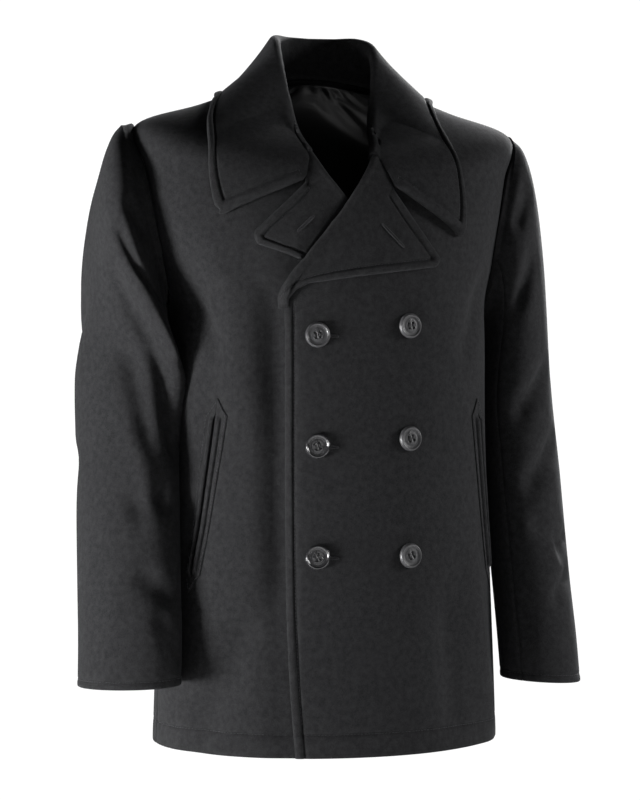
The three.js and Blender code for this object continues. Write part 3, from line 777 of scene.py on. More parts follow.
def edge_spread(width: float, near: Sequence[float], far: Sequence[float], middle: int) -> tuple[Array, Array]:
    """Places across a piece, dense at both edges.

    Args:
        width: The piece's usual width.
        near: Distances from its first edge.
        far: Distances from its last edge.
        middle: How many places lie between.

    Returns:
        The places as distances from the first edge and distances from the last, for that width.
    """
    inner = np.linspace(near[-1], width - far[-1], middle + 2)[1:-1]
    place = np.concatenate([near, inner, [width - d for d in reversed(far)]])
    return place, width - place


def rim_fall(distance: Array, wall: float = WALL, reach: float = 1.7) -> Array:
    """How far both faces of a wall close in at its rounded edge."""
    near = np.clip(1 - distance / reach, 0, 1)
    return wall * 0.42 * (1 - np.sqrt(np.maximum(1 - near**2, 0)))


def stitched_band(distance: Array, band: float, puff: float = 1.6, groove: float = 1.7) -> Array:
    """Height of an edge band that a row of stitches draws down at its inner side."""
    across = np.abs(distance - band * 0.48) / (band * 0.5)
    swell = np.maximum(1 - np.clip(across, 0, 1) ** 2.6, 0)
    return puff * swell - groove * np.exp(-(((distance - band) / 1.5) ** 2))


def round_corner(first: Array, second: Array, radius: float) -> tuple[Array, Array]:
    """Moves points near a corner so that its two edges meet in an arc.

    Args:
        first: Distances from one edge.
        second: Distances from the other.
        radius: The arc's radius.

    Returns:
        How far to move away from the first edge and from the second.
    """
    a, b = np.clip(1 - first / radius, 0, 1), np.clip(1 - second / radius, 0, 1)
    return radius * a * (1 - np.sqrt(1 - b**2 / 2)), radius * b * (1 - np.sqrt(1 - a**2 / 2))


SEAM_EDGE = (0.0, 0.5, 1.2, 2.2, 4.0, 7.0, 12.0, 19.0)
STITCHED_EDGE = (0.0, 0.5, 1.2, 2.2, 4.0, 6.0, 7.8, 8.9, 9.6, 10.2, 10.9, 11.8, 13.4, 16.5, 22.0)


@dataclass
class Stitches:
    """Rows of stitches, gathered from every piece and made as one mesh."""

    name: str
    length: float = 3.1
    gap: float = 1.0
    radius: float = 0.42
    sides: int = 6
    rings: tuple[float, ...] = (0.0, 0.5, 1.0, 0.5, 0.0)
    points: list[Array] = field(default_factory=list)
    faces: list[tuple[int, ...]] = field(default_factory=list)
    count: int = 0

    def sew(self, route: Array) -> None:
        """Adds stitches along a route of points."""
        steps = np.linalg.norm(np.diff(route, axis=0), axis=1)
        place = np.concatenate([[0], np.cumsum(steps)])
        number = int(place[-1] / (self.length + self.gap))
        for k in range(number):
            start = (k + 0.5) * (self.length + self.gap) - self.length / 2
            ends = np.stack([np.interp([start, start + self.length], place, route[:, axis])
                             for axis in range(3)], axis=-1)
            self.add_stitch(ends[0], ends[1])

    def add_stitch(self, start: Array, end: Array) -> None:
        """Adds one stitch between two points."""
        along = unit(end - start)
        side = unit(np.cross(along, np.array([0.31, 0.87, 0.38])))
        up = np.cross(side, along)
        base = self.count
        shares = np.linspace(0, 1, len(self.rings))
        angles = np.linspace(0, 2 * np.pi, self.sides, endpoint=False)
        for share, swell in zip(shares, self.rings):
            radius = self.radius * (0.35 + 0.65 * swell)
            ring = [mix(start, end, share) + radius * (math.cos(a) * side + math.sin(a) * up) for a in angles]
            self.points.extend(ring)
        for r in range(len(self.rings) - 1):
            for s in range(self.sides):
                a, b = base + r * self.sides + s, base + r * self.sides + (s + 1) % self.sides
                self.faces.append((a, b, b + self.sides, a + self.sides))
        self.faces.append(tuple(base + s for s in range(self.sides))[::-1])
        last = base + (len(self.rings) - 1) * self.sides
        self.faces.append(tuple(last + s for s in range(self.sides)))
        self.count += len(self.rings) * self.sides

    def build(self, wardrobe: Wardrobe) -> bpy.types.Object:
        """Returns the stitches as one object."""
        log.info("%s: %d points of stitching", self.name, self.count)
        return make_object(self.name, hang(np.array(self.points)), self.faces,
                           wardrobe.give(Finish.THREAD))


@dataclass
class FrontPanel:
    """One front of the body, from its edge and roll line to the side seam and armhole."""

    side: Side
    allowance: float = 1.8
    band: float = 10.0
    hem_turn: float = 27.0
    width: float = 320.0
    flat: tuple[float, float] = (0.42, 0.80)
    flat_area: float = 0.250

    def grid(self) -> tuple[Array, Array, Array, Array]:
        """Returns the levels, left turns, and distances from the front edge and outer seam of the points."""
        place, _ = edge_spread(self.width, STITCHED_EDGE, SEAM_EDGE, 44)
        levels = panel_levels(self.hem_turn)
        level = np.repeat(levels[:, None], len(place), axis=1)
        inner, outer = BODY.edge_turn(levels, self.side), BODY.armhole_turn(levels, "front") - 0.1
        outer = outer + self.allowance * smooth((ARMPIT - levels) / 0.3)
        arc = np.linalg.norm(np.diff(BODY.point(
            level[:, :40], np.linspace(inner, outer, 40).T), axis=1), axis=-1).sum(axis=1)
        near, far = place[None, :], (self.width - place)[None, :]
        arc = arc[:, None]
        split = STITCHED_EDGE[-1], SEAM_EDGE[-1]
        middle = split[0] + (place - split[0]) / (self.width - sum(split)) * (arc - sum(split))
        distance = np.where(near <= split[0], near, np.where(far <= split[1], arc - far, middle))
        turn = inner[:, None] + (outer - inner)[:, None] * distance / arc
        return level, turn, distance, arc - distance

    def build(self, wardrobe: Wardrobe, stitches: Stitches) -> bpy.types.Object:
        """Makes the front and returns it."""
        level, turn, near, far = self.grid()
        sign = self.side.value
        base = BODY.point(level, sign * turn)
        z = base[..., 2]
        up_hem = (HEM - level) * (BODY_RINGS[HEM - 1].side - BODY_RINGS[HEM].side)
        below_roll = smooth((-z - 262) / 20)
        height = stitched_band(near, self.band) * below_roll
        height = height + stitched_band(up_hem, self.hem_turn, 0.35, 0.8) * smooth((near - 3) / 6)
        height = height - 0.9 * np.exp(-((far / 3.0) ** 2))
        closing = np.maximum(rim_fall(np.minimum(near, up_hem)), rim_fall(far, WALL, 1.2))
        sunk = 0 if self.side is Side.LEFT else under_left(base)
        outer = BODY.out(level, sign * turn, height - closing - sunk)
        inner = BODY.out(level, sign * turn, closing - WALL - sunk)
        name = f"front_{self.side.word}"
        piece = make_wall(f"{name}_cloth", outer, inner, wardrobe.give(Finish.MELTON))
        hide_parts(name)
        self.sew(stitches)
        return piece

    def sew(self, stitches: Stitches) -> None:
        """Sews the rows along the front edge and the hem."""
        if self.side is Side.LEFT:
            z = np.linspace(-268, -738, 160)
            stitches.sew(front_out(self.side, edge_at(z, self.side) + self.band, z, -0.35))
        start = BODY.edge_turn(np.array([HEM - 0.4]), self.side)[0] + 4
        if self.side is Side.RIGHT:
            start = -BODY.edge_turn(np.array([HEM - 0.4]), Side.LEFT)[0] + 2
        turn = np.linspace(start, 89.5, 120)
        level = np.full(turn.shape, HEM - self.hem_turn / 68)
        stitches.sew(BODY.out(level, self.side.value * turn, -0.3))


def panel_levels(hem_turn: float) -> Array:
    """Ring levels of a body panel's rows, dense at the hem's edge and stitches."""
    hem_gap = BODY_RINGS[HEM - 1].side - BODY_RINGS[HEM].side
    near_hem = [0, 0.5, 1.2, 2.2, 4, 8, 13, 19, 23.5, 25.5, 26.4, 27, 27.6, 28.6, 31, 36, 44, 54]
    hem = [HEM - d / hem_gap for d in near_hem if d < hem_turn * 2]
    top = [0, 0.02, 0.05, 0.1]
    body = np.arange(0.18, hem[-1] - 0.08, 0.105)
    return np.array(sorted([*top, *body, *hem]))


@dataclass
class BackPanel:
    """One half of the back, from the centre seam to the side seam and armhole."""

    side: Side
    width: float = 260.0
    hem_turn: float = 27.0
    flat: tuple[float, float] = (0.32, 0.80)
    flat_area: float = 0.206

    def build(self, wardrobe: Wardrobe, stitches: Stitches) -> bpy.types.Object:
        """Makes the half back and returns it."""
        sign = self.side.value
        place, _ = edge_spread(self.width, SEAM_EDGE, SEAM_EDGE, 34)
        levels = panel_levels(self.hem_turn)
        outer_turn = BODY.armhole_turn(levels, "back") + 0.1
        share = place / self.width
        turn = mix(180 - 0.1, outer_turn[:, None], share[None, :])
        level = np.repeat(levels[:, None], len(place), axis=1)
        near = np.repeat(place[None, :], len(levels), axis=0)
        far = self.width - near
        up_hem = (HEM - level) * (BODY_RINGS[HEM - 1].side - BODY_RINGS[HEM].side)
        height = -0.9 * np.exp(-((far / 3.0) ** 2)) - 0.8 * np.exp(-((near / 2.6) ** 2))
        height = height + stitched_band(up_hem, self.hem_turn, 0.35, 0.8)
        closing = np.maximum(rim_fall(up_hem), rim_fall(np.minimum(near, far), WALL, 1.2))
        outer = BODY.out(level, sign * turn, height - closing)
        inner = BODY.out(level, sign * turn, closing - WALL)
        name = f"back_{self.side.word}"
        piece = make_wall(f"{name}_cloth", outer, inner, wardrobe.give(Finish.MELTON))
        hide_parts(name)
        hem_level = np.full(120, HEM - self.hem_turn / 68)
        stitches.sew(BODY.out(hem_level, sign * np.linspace(179.5, 90.5, 120), -0.3))
        return piece


@dataclass
class BackLining:
    """The satin lining of the back, gathered a little below the neck."""

    depth: float = 7.0
    wall: float = 0.9
    pleats: int = 26
    pleat_depth: float = 3.2
    flat: tuple[float, float] = (0.56, 0.78)
    flat_area: float = 0.365

    def build(self, wardrobe: Wardrobe) -> bpy.types.Object:
        """Makes the lining and returns it."""
        levels = np.concatenate([[0.03, 0.06, 0.1], np.linspace(0.16, 11.85, 110)])
        across = np.linspace(-1, 1, 121)
        reach = 180 - (BODY.armhole_turn(levels, "back") + 4)
        turn = 180 - across[None, :] * reach[:, None]
        level = np.repeat(levels[:, None], len(across), axis=1)
        fade = smooth((level - 0.04) / 0.3) * smooth((3.2 - level) / 2.6)
        rng = np.random.default_rng(5)
        waves = np.zeros_like(turn)
        for _ in range(self.pleats):
            middle = 180 + rng.uniform(-80, 80)
            spread = rng.uniform(1.6, 3.6)
            lean = rng.uniform(-14, 14) * level
            reaches = smooth((rng.uniform(0.7, 3.2) - level) / 0.8)
            waves += rng.uniform(0.3, 1) * reaches * np.exp(-(((turn - middle - lean) / spread) ** 2))
        height = -self.depth - self.pleat_depth * waves * fade
        outer, inner = BODY.out(level, turn, height), BODY.out(level, turn, height - self.wall)
        piece = make_wall("back_lining_satin", outer, inner, wardrobe.give(Finish.LINING))
        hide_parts("back_lining")
        return piece


@dataclass
class Sleeve:
    """A two-piece sleeve, from the armhole to the cuff."""

    side: Side
    cuff_band: float = 9.0
    top_flat: tuple[float, float] = (0.30, 0.66)
    top_area: float = 0.138
    under_flat: tuple[float, float] = (0.17, 0.52)
    under_area: float = 0.062

    def armhole(self, turn: Array) -> Array:
        """Returns points of the armhole's loop, by the turn round the sleeve from its top."""
        share = (1 - np.cos(np.radians(turn))) / 2
        z = mix(BODY_RINGS[SHOULDER].side, BODY_RINGS[ARMPIT].side, share)
        level = BODY.level_at_side(z)
        front, back = BODY.armhole_turn(level, "front"), BODY.armhole_turn(level, "back")
        edge = np.where(np.mod(turn, 360) <= 180, front, back)
        return BODY.out(level, edge, 2.8 * SEAM)

    def clear_of_body(self, point: Array, clearance: Array | float) -> Array:
        """Returns points pushed out of the body's side."""
        level = np.maximum(BODY.level_at_side(point[..., 2]), ARMPIT - 0.5)
        half = BODY.value("half", level) + clearance
        depth = np.where(point[..., 1] < 0, BODY.value("front", level), BODY.value("back", level)) + clearance
        square = BODY.value("square", level)
        left = 1 - (np.abs(point[..., 1]) / depth) ** square
        least = np.where(left > 0, half * np.maximum(left, 0) ** (1 / square), -np.inf)
        low = point[..., 2] <= BODY_RINGS[ARMPIT].side + 10
        x = np.where(low, np.maximum(point[..., 0], least), point[..., 0])
        return np.stack([x, point[..., 1], point[..., 2]], axis=-1)

    def surface(self, place: Array, turn: Array, inward: Array | float) -> Array:
        """Points of the sleeve on the left side.

        Args:
            place: Rows down the sleeve, the armhole at 0.
            turn: Turns round the sleeve: 0 outside, 90 front, 180 under.
            inward: How far inside the outer face.

        Returns:
            The points.
        """
        row = np.maximum(place - 1, 0)
        table = np.array([[r.out_x, r.out_z, r.in_x, r.in_z, r.middle_y, r.half, r.turn] for r in SLEEVE_ROWS[self.side]])
        out_x, out_z, in_x, in_z, middle_y, half, twist = np.moveaxis(column(table, row), -1, 0)
        zero = np.zeros_like(out_x)
        long = np.stack([(out_x - in_x) / 2, zero, (out_z - in_z) / 2], axis=-1)
        middle = np.stack([(out_x + in_x) / 2, middle_y, (out_z + in_z) / 2], axis=-1)
        long_way, front_way = unit(long), np.array([0.0, -1.0, 0.0])
        c, s = np.cos(np.radians(twist))[..., None], np.sin(np.radians(twist))[..., None]
        axis_long, axis_front = long_way * c + front_way * s, front_way * c - long_way * s
        length = np.linalg.norm(long, axis=-1)
        round_c, round_s = np.cos(np.radians(turn)), np.sin(np.radians(turn))

        def at(grow: Array) -> Array:
            """Returns the section's points, grown by a distance."""
            return (middle + axis_long * ((length + grow) * round_c)[..., None]
                    + axis_front * ((half + grow) * round_s)[..., None])

        plain = at(np.zeros_like(row))
        folds = fold_height(SLEEVE_FOLDS[self.side], np.mod(turn, 360), plain[..., 2], 1.05)
        folds = SLEEVE_FOLD_DEPTH * folds * smooth((place - 0.5) / 2)
        ring = self.clear_of_body(at(folds - inward), 1.0 + inward)
        start = self.armhole(turn)
        centre = np.array([208.0, 3.0, -163.0])
        start = start + unit(centre - start) * np.broadcast_to(inward, place.shape)[..., None]
        share = smooth(place)[..., None]
        return np.where(place[..., None] < 1, start * (1 - share) + ring * share, ring)

    def panel(self, name: str, start: float, end: float, middle: int, wardrobe: Wardrobe) -> bpy.types.Object:
        """Makes one half of the sleeve and returns it."""
        per_turn = 1.05
        width = (end - start) * per_turn
        place, _ = edge_spread(width, SEAM_EDGE, SEAM_EDGE, middle)
        rows = np.concatenate([[0, 0.03, 0.08, 0.16, 0.28, 0.42], np.arange(0.6, 12.75, 0.125),
                               [12.8, 12.83, 12.86, 12.9, 12.94, 12.965, 12.985, 13]])
        turn = np.repeat((start + place / per_turn)[None, :], len(rows), axis=0)
        row = np.repeat(rows[:, None], len(place), axis=1)
        near = np.minimum(place, width - place)[None, :]
        up_cuff = (13 - row) * 56
        valley = 0.9 * np.exp(-((near / 2.8) ** 2)) + 1.1 * np.exp(-((row / 0.06) ** 2))
        rope = -2.2 * np.exp(-(((row - 0.3) / 0.2) ** 2)) * smooth(np.cos(np.radians(turn)) + 0.3)
        cuff = -stitched_band(up_cuff, self.cuff_band, 0.4, 0.7)
        closing = np.maximum(rim_fall(near, WALL, 1.2), rim_fall(up_cuff))
        outer = self.surface(row, turn, valley + rope + cuff + closing)
        inner = self.surface(row, turn, WALL - closing + valley * 0.3)
        for grid in (outer, inner):
            grid[..., 0] *= self.side.value
        piece = make_wall(f"{name}_cloth", outer, inner, wardrobe.give(Finish.MELTON))
        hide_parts(name)
        return piece

    def build(self, wardrobe: Wardrobe, stitches: Stitches) -> list[bpy.types.Object]:
        """Makes both halves and returns them."""
        word = self.side.word
        front, back = SLEEVE_SEAMS
        top = self.panel(f"top_sleeve_{word}", back - 360 + SEAM_TURN, front - SEAM_TURN, 44, wardrobe)
        under = self.panel(f"under_sleeve_{word}", front + SEAM_TURN, back - SEAM_TURN, 22, wardrobe)
        turn = np.linspace(2, 358, 300)
        route = self.surface(np.full(turn.shape, 13 - self.cuff_band / 56), turn, np.full(turn.shape, 0.35))
        route[..., 0] *= self.side.value
        stitches.sew(route)
        return [top, under]


@dataclass
class Lapel:
    """A turned lapel: front and facing together, rolled over at the roll line."""

    cuts = {Side.LEFT: ((0.23, 0.15), 0.0138), Side.RIGHT: ((0.16, 0.11), 0.0073)}

    side: Side
    band: float = 10.5
    doubled: float = 5.0
    corner: float = 9.0

    def outline(self, row: Array, share: Array) -> tuple[Array, Array, Array]:
        """Places on the lapel.

        Args:
            row: Shares of the way from the gorge to the foot.
            share: Shares of the way from the roll line to the outer edge.

        Returns:
            Distances from the centre, heights, and the left front's edge there.
        """
        cut = FRONT_CUTS[self.side]
        roll_z = mix(cut.gorge[1] - 1.2, cut.foot[1], row)
        roll_x = edge_at(roll_z, self.side)
        if self.side is Side.RIGHT:
            roll_x = np.maximum(roll_x, 1.5 - edge_at(roll_z, Side.LEFT))
        rim_x, rim_z = along_line(cut.rim, row)
        top_x, top_z = along_line([cut.gorge, cut.notch, cut.tip], share)
        bend = (1 - row) ** 2
        x = mix(roll_x, rim_x, share) + (top_x - mix(cut.gorge[0], cut.tip[0], share)) * bend
        z = mix(roll_z, rim_z, share) + (top_z - mix(cut.gorge[1], cut.tip[1], share)) * bend
        return x, z, -edge_at(z, Side.LEFT)

    def build(self, wardrobe: Wardrobe, stitches: Stitches) -> bpy.types.Object:
        """Makes the lapel and returns it."""
        near = np.array([0, 0.5, 1.2, 2.2, 3.6, 5.2, 7, 8.4, 9.2, 9.9, 10.5, 11.1, 11.9, 13.2, 15.5])
        rows = np.concatenate([near / 150, np.linspace(0.13, 0.97, 64), [0.985, 0.993, 1.0]])
        shares = np.concatenate([np.linspace(0, 0.8, 34), np.linspace(0.815, 0.985, 22), [0.99, 0.996, 1.0]])
        roll = np.array([-6.5, -6.0, -5.0, -3.5, -1.5, 1.0, 3.0])
        roll_up = np.array([6.2, 7.4, 8.8, 9.9, 10.4, 10.0, 9.2])
        roll_down = np.array([5.6, 5.2, 5.0, 4.6, 4.0, 3.0, 2.2])
        row = np.repeat(rows[:, None], len(roll) + len(shares), axis=1)
        share = np.concatenate([np.zeros(len(roll)), shares])[None, :] * np.ones_like(row)
        aside = np.concatenate([roll, np.linspace(4.5, 0, 12), np.zeros(len(shares) - 12)])[None, :]
        x, z, covered = self.outline(row, share)
        x = x + aside * np.ones_like(x)
        x, z = self.soften_tip(x, z, len(roll))
        if self.side is Side.RIGHT:
            order = np.arange(x.shape[1])[None, :] * 0.12
            trimmed = x < covered + 3 + order
            x = np.maximum(x, covered + 3 + order)
        base = front_out(self.side, x, z, np.zeros_like(x))
        rim = self.distance_to_edge(base, row, share)
        lift = np.concatenate([roll_up, np.interp(np.arange(len(shares)), [0, 6, 20], [8.9, 7.0, 6.0])])
        drop = np.concatenate([roll_down, np.interp(np.arange(len(shares)), [0, 4], [1.8, 1.3])])
        bulge = 1.6 * np.sin(np.pi * np.clip(share, 0, 1)) * np.sin(np.pi * row) ** 0.7
        band = stitched_band(rim, self.band)
        closing = rim_fall(rim, self.doubled, 2.6)
        taper = 1 - 0.7 * smooth((row - 0.86) / 0.14) * (self.side is Side.LEFT)
        upper = (lift[None, :] + band + bulge) * taper - closing
        under = (drop[None, :] + bulge * 0.7) * taper + closing * 0.5
        under = np.minimum(under, upper - 0.6)
        if self.side is Side.RIGHT:
            upper, under = np.where(trimmed, 4.2, upper), np.where(trimmed, 1.3, under)
            upper = np.minimum(upper, 4.2 + np.maximum(x - covered - 3, 0) * 0.45)
            under = np.minimum(under, upper - 2.2)
        outer, inner = front_out(self.side, x, z, upper), front_out(self.side, x, z, under)
        name = f"lapel_{self.side.word}"
        piece = make_wall(f"{name}_cloth", outer, inner, wardrobe.give(Finish.MELTON))
        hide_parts(name)
        self.sew(stitches, outer, rim)
        return piece

    def soften_tip(self, x: Array, z: Array, first: int) -> tuple[Array, Array]:
        """Returns the places with the lapel's tip rounded."""
        to_side = np.hypot(x - x[:, -1:], z - z[:, -1:])
        to_top = np.hypot(x - x[:1, :], z - z[:1, :])
        from_side, from_top = round_corner(to_side, to_top, self.corner)
        inward = unit(np.stack([x[:, first:first + 1] - x[:, -1:], z[:, first:first + 1] - z[:, -1:]], -1))
        down = unit(np.stack([x[-8:-7, :] - x[:1, :], z[-8:-7, :] - z[:1, :]], -1))
        return (x + inward[..., 0] * from_side + down[..., 0] * from_top,
                z + inward[..., 1] * from_side + down[..., 1] * from_top)

    def distance_to_edge(self, base: Array, row: Array, share: Array) -> Array:
        """Distance of each point from the lapel's free edges, its top from the notch and its outer edge."""
        to_side = np.linalg.norm(base - base[:, -1:, :], axis=-1)
        cut = FRONT_CUTS[self.side]
        first = math.dist(cut.gorge, cut.notch)
        notch = first / (first + math.dist(cut.notch, cut.tip))
        to_top = np.linalg.norm(base - base[:1, :, :], axis=-1) + 60 * smooth((notch + 0.02 - share) / 0.08)
        return np.minimum(to_side, to_top)

    def sew(self, stitches: Stitches, outer: Array, rim: Array) -> None:
        """Sews the row that runs inside the lapel's outer edge."""
        route = []
        for j in range(12, outer.shape[0] - 4):
            line = rim[j]
            at = len(line) - 1 - np.argmax(line[::-1] >= self.band)
            if line[at] >= self.band:
                route.append(outer[j, at])
        if len(route) > 3:
            stitches.sew(np.array(route) + np.array([0, -0.25, 0.1]))


@dataclass
class Collar:
    """The collar in one piece: stand, roll and fall."""

    doubled: float = 5.0
    band: float = 12.0
    radius: float = 1.7
    corner: float = 11.0
    flat: tuple[float, float] = (0.56, 0.30)
    flat_area: float = 0.105

    def section(self, side: Side, place: float) -> Array:
        """Points of the collar's hidden face at one place.

        Args:
            side: Which half.
            place: Rows from the centre back; past the last one it nears the gorge.

        Returns:
            Points from the neck seam over the crest to the outer edge.
        """
        sign = side.value
        cut = FRONT_CUTS[side]
        last = len(COLLAR_ROWS) - 1
        held = min(place, last)
        forward = float(np.clip((place - 2) / 3, 0, 1))
        turn = sign * float(column([r.neck_turn for r in COLLAR_ROWS], held))
        neck = BODY.point(np.array(0.0), np.array(turn))
        neck = neck + unit(np.array([-neck[0], -neck[1], 0.0])) * (2.6 + 2.4 * forward)
        flip = np.array([sign, 1, 1])
        crest = column([r.crest for r in COLLAR_ROWS], np.array(held)) * flip
        edge = column([r.edge for r in COLLAR_ROWS], np.array(held)) * flip
        to_gorge = float(np.clip(place - last, 0, 1))
        if to_gorge > 0:
            z = mix(-32, cut.gorge[1] + 2, to_gorge)
            early = (1 - to_gorge) ** 2
            x = edge_at(z, side) - 4
            crest = mix(front_out(side, x, z, 3.3), crest, early)
            neck = mix(front_out(side, x - SEAM, z, -1.0), neck, early)
            edge = mix(edge, front_out(side, cut.leaf_tip[0], cut.leaf_tip[1], 1.0), to_gorge)
        if place > 3:
            raised = 12 * (1 - float(smooth((place - 3.2) / 1.2)))
            edge = mix(edge, self.leaf_edge(side, edge[2] + raised), float(smooth((place - 3) / 0.8)))
        over, up = self.crest_ways(crest, edge, forward)
        centre = crest - up * self.radius + over * self.radius
        stand = [mix(neck, crest, share) for share in np.linspace(0, 0.92, 9)]
        towards = unit(edge - centre)
        turned = math.degrees(math.atan2(float(towards @ over), float(towards @ up))) % 360
        last_angle = float(np.clip(turned, 100, 180))
        roll = [centre - over * self.radius * math.cos(a) + up * self.radius * math.sin(a)
                for a in np.radians(np.linspace(0, last_angle, 9))]
        shares = self.fall_shares()[:, None]
        fall = mix(roll[-1], edge, shares)
        if to_gorge > 0:
            x, z = along_line([cut.gorge, cut.notch, cut.leaf_tip], shares[:, 0])
            line = front_out(side, x + 2.2, z + 1.6, SEAM + 3.6 * smooth(1 - shares[:, 0] / 0.5))
            fall = mix(fall, line, to_gorge**2)
        rest = 3.2 + 2.0 * math.sin(math.pi * to_gorge) + 1.4 * smooth(1 - shares[:, 0] / 0.5) * to_gorge
        rest = rest - 2.4 * math.exp(-(((place - 3.2) / 0.7) ** 2))
        fall = BODY.rest_on(fall, rest)
        return np.concatenate([stand, roll, fall])

    def leaf_edge(self, side: Side, z: float) -> Array:
        """Returns the point of a leaf's outer edge at a height."""
        heights = [point[0] for point in LEAF_EDGES[side]]
        place = np.interp(-z, [-h for h in heights], np.arange(len(heights)))
        return front_out(side, float(column([point[1] for point in LEAF_EDGES[side]], place)), z, 2.0)

    def crest_ways(self, crest: Array, edge: Array, forward: float) -> tuple[Array, Array]:
        """Returns the ways over and up at the crest."""
        level, turn = BODY.nearest(crest[None, :])
        out = BODY.normal(level, turn)[0]
        flat_way = unit(np.array([crest[0], crest[1] * 0.9 + 0.001, 0.0]))
        over = unit(mix(flat_way, out, float(smooth(forward))))
        way = crest - edge
        return over, unit(way - over * float(way @ over))

    def fall_shares(self) -> Array:
        """Shares down the fall, dense near the outer edge."""
        return np.concatenate([np.linspace(0.025, 0.84, 26), np.linspace(0.855, 0.985, 22), [0.99, 0.996, 1.0]])

    def build(self, wardrobe: Wardrobe, stitches: Stitches) -> bpy.types.Object:
        """Makes the collar and returns it."""
        half = np.concatenate([np.linspace(0, 5, 52), np.linspace(5.03, 5.84, 34),
                               6 - np.array([15, 13.2, 11.9, 11.1, 10.5, 9.9, 9.2, 8.4, 7, 5.2, 3.6, 2.2, 1.2,
                                             0.5, 0]) / 105])
        places = [(Side.RIGHT, p) for p in half[:0:-1]] + [(Side.LEFT, p) for p in half]
        grid = np.array([self.section(side, float(place)) for side, place in places])
        grid = self.soften_tips(np.swapaxes(grid, 0, 1))
        rows, columns = grid.shape[:2]
        around = np.gradient(grid, axis=1)
        across = np.gradient(grid, axis=0)
        normal = unit(np.cross(around, across))
        rim = self.distance_to_edge(grid)
        stand = 9
        thick = np.full((rows, columns), self.doubled)
        thick[:stand] = np.linspace(WALL, self.doubled, stand)[:, None]
        fallen = np.arange(rows)[:, None] >= stand + 9
        band = np.where(fallen, stitched_band(rim, self.band), 0)
        closing = np.where(fallen, rim_fall(rim, self.doubled, 2.6), 0)
        outer = grid + normal * (thick + band - closing)[..., None]
        inner = grid + normal * (closing * 0.8)[..., None]
        piece = make_wall("collar_cloth", outer, inner, wardrobe.give(Finish.MELTON))
        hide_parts("collar")
        self.sew(stitches, outer, rim, stand + 9)
        return piece

    def soften_tips(self, grid: Array) -> Array:
        """Returns the grid with both leaf tips rounded."""
        soft = grid.copy()
        for end, back in ((0, 14), (-1, -15)):
            to_edge = np.linalg.norm(grid - grid[-1:], axis=-1)
            to_end = np.linalg.norm(grid - grid[:, end][:, None], axis=-1)
            from_edge, from_end = round_corner(to_edge, to_end, self.corner)
            inward = unit(grid[-14:-13] - grid[-1:])
            along = unit(grid[:, back] - grid[:, end])[:, None]
            moved = inward * from_edge[..., None] + along * from_end[..., None]
            soft[30:] += moved[30:]
        return soft

    def distance_to_edge(self, grid: Array) -> Array:
        """Distance of each point from the outer edge and from the free part of both front ends."""
        to_edge = np.linalg.norm(grid - grid[-1:, :, :], axis=-1)
        cut = FRONT_CUTS[Side.LEFT]
        first = math.dist(cut.gorge, cut.notch)
        notch = first / (first + math.dist(cut.notch, cut.leaf_tip))
        shares = np.concatenate([np.zeros(18), self.fall_shares()])[:, None]
        away = 60 * smooth((notch + 0.02 - shares) / 0.08)
        to_start = np.linalg.norm(grid - grid[:, :1, :], axis=-1) + away
        to_end = np.linalg.norm(grid - grid[:, -1:, :], axis=-1) + away
        return np.minimum(to_edge, np.minimum(to_start, to_end))

    def sew(self, stitches: Stitches, outer: Array, rim: Array, first: int) -> None:
        """Sews the row that runs inside the collar's outer edge."""
        route = []
        for i in range(6, outer.shape[1] - 6):
            line = rim[first:, i]
            at = len(line) - 1 - int(np.argmax(line[::-1] >= self.band))
            if line[at] >= self.band:
                route.append(outer[first + at, i])
        stitches.sew(np.array(route) + np.array([0, 0, 0.2]))


